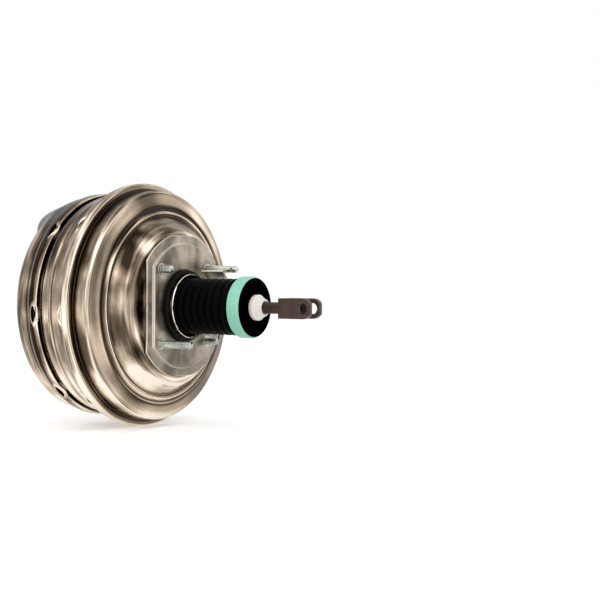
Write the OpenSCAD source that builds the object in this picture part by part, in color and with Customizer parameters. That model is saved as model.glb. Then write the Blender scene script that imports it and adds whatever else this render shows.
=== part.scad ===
// Tandem vacuum brake booster. Millimetres. The booster's axis lies along Y: the pedal side is -Y,
// the master-cylinder side is +Y, +Z is up. The origin is the centre of the bulkhead mounting face.

/* [Shells] */
// Largest diameter, at the rear rim
drum_d = 255; // [240:1:280]
// How far the rear rim stands out of the rear shell's cylinder
rim_step = 8; // [7:0.25:9]
// Diameter of the front rim
front_rim_d = 236; // [232:1:240]
// How far the front rim stands out of the front shell ahead of it
front_step = 2.8; // [2.4:0.1:3.2]
// Sheet thickness of the three shells
shell_t = 1.4; // [1.2:0.1:1.6]
// Mounting face to the rear edge of the rear rim
rear_rim_y = 47; // [46:0.5:50]
// Mounting face to the free edge of the front rim
front_rim_y = 97; // [95:0.5:99]
// Mounting face to the master-cylinder face
body_depth = 152; // [150:0.5:158]
// Depth of the rear shell's floor behind the mounting face
floor_y = 5.7; // [5.5:0.1:6.2]
// Length of each crimp slot round the rim
slot_w = 16; // [12:0.5:20]
// Number of crimps round each rim
crimps = 8; // [4:1:12]
// Angle of the first crimp from +X
crimp_angle = 4; // [0:1:20]

/* [Hub and bore] */
// Outer diameter of the rear neck
neck_d = 63.4; // [62:0.2:66]
// How far the neck stands behind the mounting face
neck_out = 8.5; // [7:0.5:10]
// Outer diameter of the black ring round the neck
gasket_d = 74; // [70:0.5:78]
// Bore for the master cylinder's pilot
bore_d = 47.6; // [46:0.2:49]
// Diameter of the recess round the bore
recess_d = 66; // [62:0.5:70]
// Depth of that recess
recess_depth = 3; // [3:0.1:3.6]
// Cord of the sealing ring in the recess
cord_d = 2.8; // [2.4:0.1:2.9]

/* [Front pad and vacuum port] */
// Diameter of the raised pad round the bore
pad_d = 122; // [116:1:126]
// Radius of the pad's ear round each front stud
ear_r = 25; // [22:0.5:27]
// Height of the pad above the front shell's flat
pad_h = 7; // [6:0.5:8]
// Hole of the vacuum port
port_d = 28; // [22:0.5:30]
// Distance of the port from the axis
port_r = 88; // [84:0.5:90]
// Angle of the port from +X
port_angle = 120.5; // [100:0.5:140]
// Outer diameter of the port's boss at its face
boss_d = 37.6; // [36:0.2:40]
// Distance of the boss face behind the master-cylinder face
boss_back = 4; // [3:0.5:6]

/* [Studs] */
// Sideways pitch of the studs
stud_pitch_x = 78; // [74:0.5:80]
// Upright pitch of the studs
stud_pitch_z = 76; // [74:0.5:80]
// Thread diameter of every stud
stud_d = 8; // [6:0.5:8]
// Length of the two long rear studs behind the mounting face
stud_rear = 38; // [30:0.5:45]
// Length of the two short rear studs
stud_short = 13; // [10:0.5:20]
// Length of the front studs ahead of the master-cylinder face
stud_front = 34; // [26:0.5:40]
// Diameter of the tie rods between the shells
tie_d = 9.5; // [9:0.1:9.8]

/* [Mounting plate] */
// Width of the plate
plate_w = 117; // [112:1:122]
// Height of the plate
plate_h = 145; // [140:1:150]
// Diameter that rounds off the plate's corners
plate_corner_d = 149; // [147:1:154]
// Sheet thickness of the plate
plate_t = 2.5; // [2:0.1:2.8]
// Width of the raised middle
pad_w = 100.6; // [96:0.2:106]
// Diameter of the raised middle
pad_round_d = 129; // [124:0.5:134]
// Length of the bent locating tab behind the face
tab_len = 26.8; // [20:0.2:30]
// Width of the locating tab
tab_w = 14; // [10:0.5:16]

/* [Power piston] */
// Full travel of the power piston
stroke = 32; // [28:0.5:32]
// Diameter of the valve body's rear tube
tube_d = 40; // [38:0.5:41]
// How far the rear tube reaches behind the mounting face
tube_out = 58; // [54:0.5:62]
// Diameter of the sleeve through the centre seal
sleeve_d = 48; // [46:0.5:50]
// Thickness of each diaphragm
rubber_t = 1.8; // [1.4:0.1:1.8]
// Thickness of each support plate
support_t = 1.5; // [1.2:0.1:1.6]
// Wire of the return spring
spring_wire = 4; // [3:0.1:4.2]
// Turns of the return spring
spring_turns = 6; // [4:0.5:7]
// Diameter of the output rod
output_d = 11; // [9:0.5:12]
// Diameter of the valve plunger
plunger_d = 16; // [15:0.1:16.4]
// Free lead of the input rod over the piston
lead = 1.5; // [1:0.1:1.6]

/* [Input rod and clevis] */
// Mounting face to the centre of the clevis hole
clevis_reach = 149; // [146:0.5:156]
// Diameter of the input rod's outer end
rod_d = 11.8; // [10:0.2:12]
// Width of the clevis across its ears
clevis_w = 24; // [21:0.5:26]
// Height of the clevis
clevis_h = 20; // [18:0.5:22]
// Gap between the ears
clevis_gap = 14; // [12:0.5:15]
// Diameter of the clevis hole
pin_d = 11; // [9:0.1:11.4]
// Clevis base to the hole's centre
clevis_base = 27.5; // [25:0.5:30]
// Diameter of the pale bush on the rod
bush_d = 25.8; // [24:0.2:28]

/* [Boot] */
// Outer diameter of the boot's folds
boot_d = 57.4; // [55:0.2:58]
// Diameter at the foot of the folds
boot_root_d = 50; // [48:0.5:52]
// Number of folds
folds = 7; // [5:1:9]
// Rubber thickness of the boot
boot_t = 1.5; // [1.2:0.1:1.7]
// Outer diameter of the green ring
ring_d = 62; // [61:0.2:64]
// Width of the green ring
ring_w = 13.8; // [12:0.2:15]
// Mounting face to the boot's outer end
boot_end = 86.6; // [84:0.2:90]

/* [Fits] */
// Radial clearance of a sliding fit
running = 0.06; // [0.02:0.01:0.1]
// Gap between pieces that don't touch
gap = 0.3; // [0.2:0.05:0.4]

/* [Hidden] */
$fn = 96;
crimp_step = 360 / crimps;
drum_r = drum_d / 2;
rear_r = drum_r - rim_step;
front_rim_r = front_rim_d / 2;
front_r = front_rim_r - front_step;
neck_r = neck_d / 2;
neck_in = neck_r - shell_t;
bore_r = bore_d / 2;
recess_r = recess_d / 2;
flat_y = body_depth - pad_h;
tie_x = stud_pitch_x / 2;
tie_z = stud_pitch_z / 2;
tie_r = tie_d / 2;
tie_reach = norm([tie_x, tie_z]);
stud_r = stud_d / 2;
shank_r = stud_r - 0.3;
boss_y = body_depth - boss_back;
recess_y = body_depth - recess_depth;
neck_y = recess_y - 8;
boss_r = boss_d / 2;
port_x = port_r * cos(port_angle);
port_z = port_r * sin(port_angle);
collar_r = stud_r + 1.8;
collar_t = 1.6;
floor_in = floor_y + shell_t;
// Rest places of the moving parts along Y
hub_y = floor_in + 1.4;
rear_plate_y = hub_y + 4.6;
rear_plate_out_y = rear_rim_y - 12.6;
divider_t = 1.2;
divider_lip_y = rear_rim_y + 9.1;
divider_in_y = rear_plate_y + 40.1;
divider_out_y = rear_plate_out_y + 41.1;
front_plate_y = divider_in_y + 3;
front_plate_out_y = divider_out_y + 3.4;
neck_shoulder_y = front_plate_y + 9.9;
seal_end_y = neck_shoulder_y - 4.6;
sleeve_r = sleeve_d / 2;
tube_r = tube_d / 2;
plunger_r = plunger_d / 2;
nose_y = neck_shoulder_y + 8;
disc_y = neck_shoulder_y - 5.7;
valve_y = -1.5;
ball_y = 18;
ball_r = 6;
spring_r1 = 28.5;
spring_r2 = 40;
clevis_y = -clevis_reach;
base_y = clevis_y + clevis_base;
bush_r = bush_d / 2;
ring_r = ring_d / 2;
cup_r = ring_r - 1.9;
centre_r1 = rear_r - 1;
centre_r2 = rear_r - 2.7;
valley_r = front_rim_r - 6.5;
// Foot and head of the slope that the plates, diaphragms and divider share
slope_r1 = tie_reach + 18.5;
slope_r2 = rear_r - 29.5;
// Neck of the front plate over the centre seal
seal_r = 37;
step_r1 = seal_r + 3.8;
step_r2 = seal_r + 6;
// Height of the front dome
dome_h = flat_y - front_rim_y - 14;

function unit(v) = v / norm(v);
function left(d) = [-d[1], d[0]];
function flat(p) = [p[0], p[1]];
// Points of one rounded corner between the corners a, b and c.
function corner(a, b, c, rad, n) =
    let(u = unit(a - b), v = unit(c - b), half = acos(u * v) / 2)
    let(mid = b + unit(u + v) * rad / sin(half), s = b + u * rad / tan(half) - mid)
    let(e = b + v * rad / tan(half) - mid, w = 180 - 2 * half)
    [for (k = [0 : n]) mid + (sin(w - k * w / n) * s + sin(k * w / n) * e) / sin(w)];
// A line of [r, y, fillet] corners as points.
function rounded(c) = [for (i = [0 : len(c) - 1])
    each (i == 0 || i == len(c) - 1 || c[i][2] == 0)
        ? [flat(c[i])]
        : corner(flat(c[i - 1]), flat(c[i]), flat(c[i + 1]), c[i][2], c[i][2] > 8 ? 6 : 3)];
// The same line moved t to its left.
function shifted(p, t) = [for (i = [0 : len(p) - 1])
    let(d1 = unit(p[max(i, 1)] - p[max(i, 1) - 1]))
    let(d2 = unit(p[min(i, len(p) - 2) + 1] - p[min(i, len(p) - 2)]))
    let(m = unit(left(d1) + left(d2)))
    p[i] + m * t / (m * left(d1))];
// A line of [r, y, fillet] corners moved t to its left.
function beside(c, t) =
    let(p = [for (q = c) flat(q)], n = shifted(p, t))
    [for (i = [0 : len(c) - 1])
        let(u = p[i] - p[max(i, 1) - 1], v = p[min(i, len(p) - 2) + 1] - p[i])
        let(bend = i == 0 || i == len(c) - 1 ? 0 : sign(u[0] * v[1] - u[1] * v[0]))
        [n[i][0], n[i][1], c[i][2] == 0 ? 0 : max(c[i][2] - bend * t, 0)]];
function turned(p) = [for (i = [len(p) - 1 : -1 : 0]) p[i]];

// Turns a profile of [r, y] round the booster's axis.
module spin(p) {
    rotate([-90, 0, 0])
    rotate_extrude()
    polygon(p);
}

// Turned sheet metal that follows a line of [r, y, fillet] corners.
module sheet(c, t) {
    p = rounded(c);
    spin(concat(p, turned(shifted(p, t))));
}

// Round bar along +Y from a point.
module bar(x, y, z, r, h) {
    translate([x, y, z])
    rotate([-90, 0, 0])
    cylinder(r = r, h = h);
}

// Ring along +Y.
module ring(x, y, z, r, hole, h) {
    difference() {
        bar(x, y, z, r, h);
        bar(x, y - 1, z, hole, h + 2);
    }
}

// Box at a radius and an angle in the XZ plane: radial, along Y, round the axis.
module at_angle(a, r, y, size) {
    rotate([0, -a, 0])
    translate([r, y, -size[2] / 2])
    cube(size);
}

// Both tie-rod places.
module tie_places() {
    for (s = [-1, 1])
        translate([s * tie_x, 0, s * tie_z])
        children();
}

// Coil round Y from y1 to y2, its radius going from r1 to r2, with closed ends.
module coil(r1, r2, y1, y2, wire, turns) {
    steps = 24;
    sides = 8;
    n = (turns + 1.5) * steps;
    w = wire / 2;
    function rise(k) = min(max((k - 0.75 * steps) / (turns * steps), 0), 1);
    function closed(k) = k < 0.75 * steps ? (k / (0.75 * steps) - 1) : (k > n - 0.75 * steps
        ? (k - n + 0.75 * steps) / (0.75 * steps) : 0);
    function mid_y(k) = y1 + w + wire * 1.06 + (y2 - y1 - wire * 3.12) * rise(k)
        + closed(k) * wire * 1.06;
    function mid_r(k) = r1 + (r2 - r1) * rise(k);
    pts = [for (k = [0 : n]) for (j = [0 : sides - 1])
        let(a = 360 * k / steps, b = 360 * j / sides, rr = mid_r(k) + w * cos(b))
        [rr * cos(a), mid_y(k) + w * sin(b), rr * sin(a)]];
    walls = [for (k = [0 : n - 1]) for (j = [0 : sides - 1])
        [k * sides + j, k * sides + (j + 1) % sides,
            (k + 1) * sides + (j + 1) % sides, (k + 1) * sides + j]];
    first = [for (j = [0 : sides - 1]) sides - 1 - j];
    last = [for (j = [0 : sides - 1]) n * sides + j];
    polyhedron(points = pts, faces = concat([first], walls, [last]), convexity = 10);
}

// Outline of the mounting plate as a slab along +Y.
module plate_slab(w, h, d, y, t) {
    intersection() {
        translate([-w / 2, y, -h / 2])
        cube([w, t, h]);
        bar(0, y, 0, d / 2, t);
    }
}

// Places the ears and the straight sides of the raised pad round the disc in the middle.
module pad_parts(r1, r2) {
    reach = norm([tie_x, tie_z]);
    lean = acos((r1 - r2) / reach);
    for (s = [0, 180])
        rotate([0, -atan2(tie_z, tie_x) - s, 0]) {
            translate([reach, 0, 0])
            children(0);
            for (q = [-1, 1])
                rotate([0, -q * lean, 0])
                translate([r1 - 0.3, 0, q > 0 ? -reach * sin(lean) : 0])
                linear_extrude(reach * sin(lean))
                children(1);
        }
}

// Raised pad as a slab: a disc with an ear round each front stud.
module pad_slab(inset, y, t) {
    r1 = pad_d / 2 - inset;
    r2 = ear_r - inset;
    bar(0, y, 0, r1, t);
    pad_parts(r1, r2) {
        bar(0, y, 0, r2, t);
        polygon([[-15, y], [0, y], [0, y + t], [-15, y + t]]);
    }
}

rear_path = [
    [neck_r, -neck_out, 0],
    [neck_r, floor_y, 2.5],
    [slope_r1 + 5, floor_y, 22],
    [slope_r2 + 3.2, rear_rim_y - 21.5, 1],
    [slope_r2 + 6.8, rear_rim_y - 24.2, 1.9],
    [slope_r2 + 10, rear_rim_y - 20.2, 1],
    [slope_r2 + 13.5, rear_rim_y - 21.6, 4],
    [rear_r, rear_rim_y - 17, 4],
    [rear_r, rear_rim_y, 1.5],
    [drum_r, rear_rim_y, 2.5],
    [drum_r, rear_rim_y + 8.5, 5],
    [drum_r - 2.9, rear_rim_y + 14.8, 0]];

centre_path = [
    [drum_r - 2.8, divider_lip_y + 1.6, 0],
    [centre_r1, divider_lip_y + 1.6, 1.8],
    [centre_r2, front_rim_y - 19.5, 1.8],
    [valley_r + 1.8, front_rim_y - 17, 1.2],
    [valley_r + 3.9, front_rim_y - 14.3, 2.4],
    [valley_r + 3.9, front_rim_y - 6, 2.4],
    [valley_r + 0.8, front_rim_y - 3.4, 1.4],
    [valley_r + 0.8, front_rim_y + 7, 1.5],
    [front_rim_r - shell_t - gap, front_rim_y + 7, 0]];

front_path = [
    [front_rim_r, front_rim_y, 0],
    [front_rim_r, front_rim_y + 11.5, 2.2],
    [front_r, front_rim_y + 14, 1.5],
    [front_r, front_rim_y + 14 + dome_h * 0.51, dome_h * 0.45],
    [front_r - 19.2, flat_y - dome_h * 0.225, dome_h],
    [front_r - 39.2, flat_y, dome_h * 0.4],
    [pad_d / 2 - 4, flat_y, 0]];

boss_path = [
    [boss_r + 3.7, boss_y - 24, 0],
    [boss_r, boss_y, 3.5],
    [0, boss_y, 0]];

// One crimp: a tongue pressed inwards between a slot and the free edge.
module crimp_cut(a, r, y, w) {
    at_angle(a, r - 4, y - 2, [8, 4, slot_w]);
    at_angle(a, r - 4, y + (w > 0 ? 1.9 : w - 0.1), [8, abs(w) - 1.8, slot_w - 1.6]);
}

module crimp_tongue(a, r, y, w) {
    at_angle(a, r - 3.1, min(y + sign(w) * 2, y + w + sign(w) * 1.8), [shell_t, abs(w) - 0.2, slot_w - 1.4]);
}

module rear_shell() {
    color([0.72, 0.69, 0.64])
    difference() {
        union() {
            difference() {
                sheet(rear_path, shell_t);
                for (i = [0 : crimps - 1])
                    crimp_cut(crimp_angle + i * crimp_step, drum_r - 1, rear_rim_y + 10, 4.9);
            }
            for (i = [0 : crimps - 1])
                crimp_tongue(crimp_angle + i * crimp_step, drum_r - 0.3, rear_rim_y + 9.7, 4.9);
        }
        for (s = [-1, 1])
            for (q = [-1, 1])
                bar(s * tie_x, floor_y - 2, q * tie_z, stud_r + gap, 6);
    }
}

module centre_shell() {
    color([0.70, 0.67, 0.62])
    sheet(centre_path, shell_t);
}

// Hollow of a turned-in neck along +Y: a line of [r, y, fillet] corners closed at the axis.
module neck_hollow(c, y) {
    p = rounded(c);
    spin(concat([[0, c[0][1]]], p, [[c[len(c) - 1][0], y], [0, y]]));
}

module front_shell() {
    outer = rounded(front_path);
    inner = shifted(outer, shell_t);
    boss_out = rounded(boss_path);
    boss_in = shifted(boss_out, shell_t);
    color([0.72, 0.69, 0.64])
    difference() {
        union() {
            difference() {
                union() {
                    spin(concat([[0, front_rim_y]], outer, [[0, flat_y]]));
                    pad_slab(0, flat_y - 3, pad_h + 3);
                    translate([port_x, 0, port_z])
                    spin(concat([[0, boss_y - 24]], boss_out));
                }
                difference() {
                    union() {
                        spin(concat([[0, front_rim_y - 2], [inner[0][0], front_rim_y - 2]], inner,
                            [[0, flat_y - shell_t]]));
                        pad_slab(shell_t, flat_y - 6, pad_h + 6 - shell_t);
                        translate([port_x, 0, port_z])
                        spin(concat([[0, boss_y - 30], [boss_in[0][0], boss_y - 30]], boss_in));
                    }
                    spin([[bore_r - 3, neck_y], [bore_r + shell_t, neck_y],
                        [bore_r + shell_t, recess_y - shell_t], [recess_r + shell_t, recess_y - shell_t],
                        [recess_r + shell_t, body_depth + 1], [bore_r - 3, body_depth + 1]]);
                    bar(port_x, boss_y - 6, port_z, port_d / 2 + shell_t, 8);
                }
                for (i = [0 : crimps - 1])
                    crimp_cut(crimp_angle + i * crimp_step, front_rim_r, front_rim_y + 6.8, -4.9);
            }
            for (i = [0 : crimps - 1])
                crimp_tongue(crimp_angle + i * crimp_step, front_rim_r + 0.7, front_rim_y + 6.8, -4.9);
        }
        neck_hollow([[recess_r + 9, body_depth + 3, 0], [recess_r + 9, body_depth, 0],
            [recess_r, body_depth, 1.8], [recess_r, recess_y, 0.8], [bore_r, recess_y, 2],
            [bore_r, neck_y - 3, 0]], neck_y - 3);
        translate([port_x, 0, port_z])
        neck_hollow([[port_d / 2 + 9, boss_y + 3, 0], [port_d / 2 + 9, boss_y, 0],
            [port_d / 2, boss_y, 1.8], [port_d / 2, boss_y - 9, 0]], boss_y - 9);
        tie_places()
        bar(0, body_depth - 5, 0, collar_r + 0.1, 10);
    }
}

module divider_plate() {
    path = [
        [drum_r - 2.8, divider_lip_y, 0],
        [centre_r1 - 2.2, divider_lip_y, 2],
        [centre_r1 - 3.8, divider_out_y, 3],
        [slope_r2 - 2, divider_out_y, 3],
        [slope_r1 - 1, divider_in_y, 3],
        [seal_r, divider_in_y, 0.8],
        [seal_r, seal_end_y + 0.6, 0]];
    color([0.55, 0.55, 0.53])
    difference() {
        sheet(path, divider_t);
        tie_places()
        bar(0, divider_in_y - 4, 0, 7.9, 8);
    }
}

module mounting_plate() {
    color([0.44, 0.41, 0.37])
    difference() {
        union() {
            plate_slab(plate_w, plate_h, plate_corner_d, floor_y - plate_t, plate_t);
            plate_slab(pad_w, pad_round_d, pad_round_d, 0, floor_y - plate_t + 0.4);
            at_angle(43, 45, -tab_len, [plate_t, tab_len + 1, tab_w]);
        }
        plate_slab(pad_w - 4.8, pad_round_d - 4.8, pad_round_d - 4.8, plate_t, floor_y);
        bar(0, -2, 0, gasket_d / 2 + gap, 12);
        for (s = [-1, 1])
            for (q = [-1, 1])
                bar(s * tie_x, -2, q * tie_z, collar_r + 0.1, 12);
    }
}

module front_reinforcement() {
    color([0.5, 0.5, 0.48])
    difference() {
        union() {
            bar(0, body_depth - shell_t - 2.7, 0, pad_d / 2 - shell_t - 1.2, 2.4);
            tie_places()
            bar(0, body_depth - shell_t - 2.7, 0, ear_r - shell_t - 1.2, 2.4);
        }
        bar(0, body_depth - 10, 0, recess_r + shell_t + 1, 12);
        tie_places()
        bar(0, body_depth - 10, 0, stud_r + gap, 12);
    }
}

// Stud along Y: thread from its chamfered tip to the face, thinner shank on to its root.
module stud(tip, face, root) {
    k = sign(face - tip);
    spin([[0, tip], [stud_r - 1, tip], [stud_r, tip + k], [stud_r, face], [shank_r, face + 0.3 * k],
        [shank_r, root], [0, root]]);
}

module tie_rods() {
    color([0.74, 0.74, 0.70])
    tie_places() {
        union() {
            stud(-stud_rear, 0, floor_in + 3);
            ring(0, floor_in + 0.2, 0, stud_r + 4.5, stud_r - 0.5, 2);
            bar(0, floor_in + 2, 0, tie_r, body_depth - shell_t - 5.2 - floor_in);
            ring(0, body_depth - shell_t - 5.2, 0, stud_r + 4.5, stud_r - 0.5, 2.4);
            stud(body_depth + stud_front, body_depth + 0.6, body_depth - 8);
        }
    }
}

module rear_studs() {
    color([0.74, 0.74, 0.70])
    for (s = [-1, 1])
        translate([s * tie_x, 0, -s * tie_z])
        union() {
            stud(-stud_short, 0, floor_in + 1.4);
            bar(0, floor_in + 0.2, 0, stud_r + 3, 2);
        }
}

module stud_collars() {
    color([0.62, 0.61, 0.58])
    union() {
        for (s = [-1, 1])
            for (q = [-1, 1])
                ring(s * tie_x, 0.1, q * tie_z, collar_r, stud_r + 0.05, plate_t - 0.3);
        tie_places()
        ring(0, body_depth - shell_t, 0, collar_r, stud_r + 0.05, shell_t + 0.3);
    }
}

module hub_gasket() {
    r1 = neck_r + gap;
    r2 = gasket_d / 2;
    color([0.06, 0.06, 0.06])
    spin([[r1, floor_y - 2.4], [r1 + 0.6, -3.6], [r2 - 0.8, -3.6], [r2, -2.8], [r2, floor_y - 0.1],
        [r1 + 2.9, floor_y - 0.1]]);
}

module rear_hub_seal() {
    r1 = tube_r + running;
    r2 = neck_in - gap;
    color([0.10, 0.10, 0.10])
    spin([[r1, -1.2], [r1 + 2, -1.6], [r1 + 2.6, 1], [r2 - 3, 1], [r2 - 3, -1.6], [r2, -1.6],
        [r2, 5.8], [r2 - 3, 6.4], [r2 - 3, 4], [r1 + 3, 4], [r1 + 2, 6.8], [r1, 6.4]]);
}

module centre_seal() {
    r1 = sleeve_r + running;
    r2 = seal_r - divider_t - gap;
    y1 = divider_in_y - 0.8;
    y2 = seal_end_y;
    color([0.10, 0.10, 0.10])
    spin([[r1, y1], [r1 + 2.4, y1], [r1 + 3, y1 + 3.2], [r2 - 2.5, y1 + 3.2], [r2 - 2.5, y1], [r2, y1],
        [r2, y2], [r2 - 2.5, y2], [r2 - 2.5, y2 - 3.2], [r1 + 3, y2 - 3.2], [r1 + 2.4, y2], [r1, y2]]);
}

// Guide bush with a flange, along +Y.
module bush(y1, y2, flange_y) {
    r1 = tie_r + running;
    spin([[r1, y1], [7.6, y1], [7.6, flange_y], [9.4, flange_y], [9.4, flange_y + 0.9],
        [7.6, flange_y + 0.9], [7.6, y2], [r1, y2]]);
}

module divider_bushes() {
    color([0.12, 0.12, 0.12])
    tie_places()
    bush(divider_in_y - 3.6, divider_in_y + 1.1, divider_in_y + 0.1);
}

module master_seal_ring() {
    c = cord_d / 2;
    color([0.05, 0.05, 0.05])
    translate([0, body_depth - recess_depth + c + 0.05, 0])
    rotate([-90, 0, 0])
    rotate_extrude()
    translate([bore_r + 2.2 + c, 0])
    circle(r = c, $fn = 32);
}

module rear_diaphragm() {
    path = concat(beside([
        [30.4, rear_plate_y, 0],
        [slope_r1, rear_plate_y, 5],
        [slope_r2, rear_plate_out_y, 4.5],
        [rear_r - 9.6, rear_plate_out_y, 0]], -rubber_t - 0.1), [
        [rear_r - 9.6, rear_rim_y - 4.6, 2],
        [rear_r - 3.4, rear_rim_y - 4.6, 2.4],
        [rear_r - 3.4, rear_rim_y + 4.4, 1],
        [rear_r + 0.6, rear_rim_y + 4.4, 0]]);
    color([0.13, 0.13, 0.13])
    difference() {
        union() {
            sheet(path, rubber_t);
            spin([[30.4, rear_plate_y - 3.6], [33, rear_plate_y - 3.6], [33, rear_plate_y - 1],
                [30.4, rear_plate_y - 1]]);
            spin([[rear_r + 0.3, rear_rim_y + shell_t + 0.3], [drum_r - 2.6, rear_rim_y + shell_t + 0.3],
                [drum_r - 2, rear_rim_y + 4], [drum_r - 2.6, divider_lip_y - divider_t - 0.2],
                [rear_r + 0.3, divider_lip_y - divider_t - 0.2]]);
        }
        tie_places()
        bar(0, 0, 0, 7.8, rear_plate_y + 2);
    }
}

module front_diaphragm() {
    path = concat(beside([
        [20.6, neck_shoulder_y, 0],
        [step_r1, neck_shoulder_y, 2.5],
        [step_r2, front_plate_y, 2.2],
        [slope_r1 - 2.4, front_plate_y, 5],
        [slope_r2 - 3.4, front_plate_out_y, 4.5],
        [valley_r - 5.8, front_plate_out_y, 0]], -rubber_t - 0.1), [
        [valley_r - 5.8, front_rim_y - 4, 2],
        [valley_r - 1.2, front_rim_y - 1.5, 2.2],
        [valley_r - 1.2, front_rim_y + 9.2, 1],
        [front_r - 1, front_rim_y + 9.2, 0]]);
    color([0.13, 0.13, 0.13])
    difference() {
        union() {
            sheet(path, rubber_t);
            spin([[valley_r + 1, front_rim_y + 8.6], [front_rim_r - shell_t - gap, front_rim_y + 8.6],
                [front_rim_r - shell_t - gap, front_rim_y + 10.2],
                [front_r - shell_t - 0.8, front_rim_y + 12.4], [valley_r + 1, front_rim_y + 12.4]]);
        }
        tie_places()
        bar(0, front_plate_y - 10, 0, 7.8, 20);
        bar(0, front_plate_y, 0, 20.6, 30);
        ring(0, neck_shoulder_y - 2.2, 0, sleeve_r + 0.2, 10, 2.4);
    }
}

module rear_support_plate() {
    path = [
        [sleeve_r + 0.2, rear_plate_y, 0],
        [slope_r1, rear_plate_y, 5],
        [slope_r2, rear_plate_out_y, 4.5],
        [rear_r - 11.8, rear_plate_out_y, 2],
        [rear_r - 11.8, rear_plate_out_y + 5, 0]];
    color([0.68, 0.62, 0.42])
    difference() {
        sheet(path, support_t);
        tie_places()
        bar(0, rear_plate_y - 2, 0, 7.8, 6);
    }
}

module front_support_plate() {
    path = [
        [20.3, neck_shoulder_y + 0.1, 0],
        [step_r1, neck_shoulder_y + 0.1, 2.5],
        [step_r2, front_plate_y, 2.2],
        [slope_r1 - 2.4, front_plate_y, 5],
        [slope_r2 - 3.4, front_plate_out_y, 4.5],
        [valley_r - 8, front_plate_out_y, 2],
        [valley_r - 8, front_plate_out_y + 6, 0]];
    color([0.68, 0.62, 0.42])
    difference() {
        sheet(path, support_t);
        tie_places()
        bar(0, front_plate_y - 2, 0, 7.8, 6);
    }
}

module valve_body() {
    r1 = plunger_r + running;
    color([0.20, 0.19, 0.17])
    difference() {
        spin([[17, -tube_out], [tube_r - 1, -tube_out], [tube_r, -tube_out + 1], [tube_r, hub_y], [30, hub_y],
            [30, rear_plate_y - 0.1], [sleeve_r, rear_plate_y - 0.1], [sleeve_r, neck_shoulder_y],
            [tube_r, neck_shoulder_y], [tube_r, nose_y], [14, nose_y], [14, disc_y], [r1, disc_y],
            [r1, valve_y + 2.5], [10.4, valve_y + 2.5], [10.4, valve_y + 0.1], [12, valve_y + 0.1],
            [12, valve_y + 2.5], [15.4, valve_y + 2.5], [15.4, -17], [17, -18.5]]);
        translate([-30, 3, -9.5])
        cube([60, 3.2, 19]);
        for (a = [90, 270])
            rotate([0, -a, 0])
            bar(17, valve_y - 2, 0, 2.5, nose_y + 10);
    }
}

module plate_bushes() {
    color([0.12, 0.12, 0.12])
    tie_places() {
        bush(rear_plate_y - 3.5, rear_plate_y + 3.8, rear_plate_y + support_t + 0.1);
        bush(front_plate_y - rubber_t - 0.1, front_plate_y + 9, front_plate_y + support_t + 0.1);
    }
}

module spring_seat() {
    path = [
        [output_d / 2 + 0.8, nose_y + 0.3, 0],
        [tube_r + 0.3, nose_y + 0.3, 1],
        [tube_r + 0.3, neck_shoulder_y + support_t + 0.3, 2],
        [34.4, neck_shoulder_y + support_t + 0.3, 2],
        [34.4, neck_shoulder_y + 7, 0]];
    color([0.66, 0.62, 0.48])
    sheet(path, divider_t);
}

module return_spring() {
    color([0.35, 0.36, 0.38])
    coil(spring_r1, spring_r2, neck_shoulder_y + support_t + divider_t + 0.4,
        body_depth - shell_t - 2.8, spring_wire, spring_turns);
}

module reaction_disc() {
    color([0.08, 0.08, 0.08])
    bar(0, disc_y + 0.1, 0, 13.7, 4.7);
}

module output_rod() {
    r = output_d / 2;
    color([0.30, 0.28, 0.26])
    difference() {
        spin([[0, disc_y + 4.9], [13.7, disc_y + 4.9], [13.7, disc_y + 9.4], [r + 2, disc_y + 10.4],
            [r, disc_y + 12.4], [r, body_depth - 30], [r - 1, body_depth - 29], [0, body_depth - 29]]);
        bar(0, body_depth - 45, 0, 3.3, 20);
    }
}

module adjusting_screw() {
    color([0.62, 0.62, 0.60])
    union() {
        bar(0, body_depth - 42, 0, 3.2, 15);
        bar(0, body_depth - 28.7, 0, 6.5, 4);
        spin([[0, body_depth - 25], [4.4, body_depth - 25], [4.4, body_depth - 21], [3.4, body_depth - 19.6],
            [1.8, body_depth - 18.9], [0, body_depth - 18.7]]);
    }
}

module stop_key() {
    color([0.50, 0.50, 0.48])
    difference() {
        intersection() {
            translate([-25, 3.1, -9.3])
            cube([50, 3, 18.6]);
            bar(0, 2, 0, tube_r - 0.3, 6);
        }
        bar(0, 2, 0, 6.5, 6);
        translate([-25, 2, -6.5])
        cube([25, 6, 13]);
    }
}

module poppet_retainer() {
    color([0.74, 0.72, 0.66])
    spin([[9.3, -26.5], [16.7, -26.5], [16.7, -22.4], [12.7, -22.4], [12.7, -25], [9.3, -25]]);
}

module air_filter() {
    color([0.16, 0.16, 0.15])
    ring(0, -tube_out + 0.4, 0, 16.7, 8.6, 2.9);
}

module poppet_valve() {
    y = valve_y - 0.2;
    color([0.07, 0.07, 0.07])
    spin([[6.3, y], [12.8, y], [12.8, y - 2.4], [14.9, y - 8], [14.9, -18.2], [16.7, -19.4], [16.7, -22.1],
        [13.4, -22.1], [13.4, y - 8], [11.9, y - 3.8], [6.3, y - 3.8]]);
}

module poppet_spring() {
    color([0.62, 0.63, 0.64])
    coil(10.5, 9.4, -24.8, valve_y - 4.2, 1.2, 4);
}

module plunger() {
    hole = 4.8;
    cut_r = ball_r + 0.12;
    cut = [for (k = [0 : 12]) let(a = -52 + k * 142 / 12) [cut_r * cos(a), ball_y + cut_r * sin(a)]];
    color([0.60, 0.60, 0.57])
    difference() {
        spin([[hole, valve_y], [plunger_r, valve_y], [plunger_r, 1], [6.2, 1.4], [6.2, 7.8], [plunger_r, 8.2],
            [plunger_r, disc_y - 1.2 - lead], [0, disc_y - 1.2 - lead], [0, ball_y], [hole, ball_y]]);
        spin(concat([[0, ball_y - 5]], cut));
        bar(0, valve_y - 1, 0, hole, ball_y - valve_y);
    }
}

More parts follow.
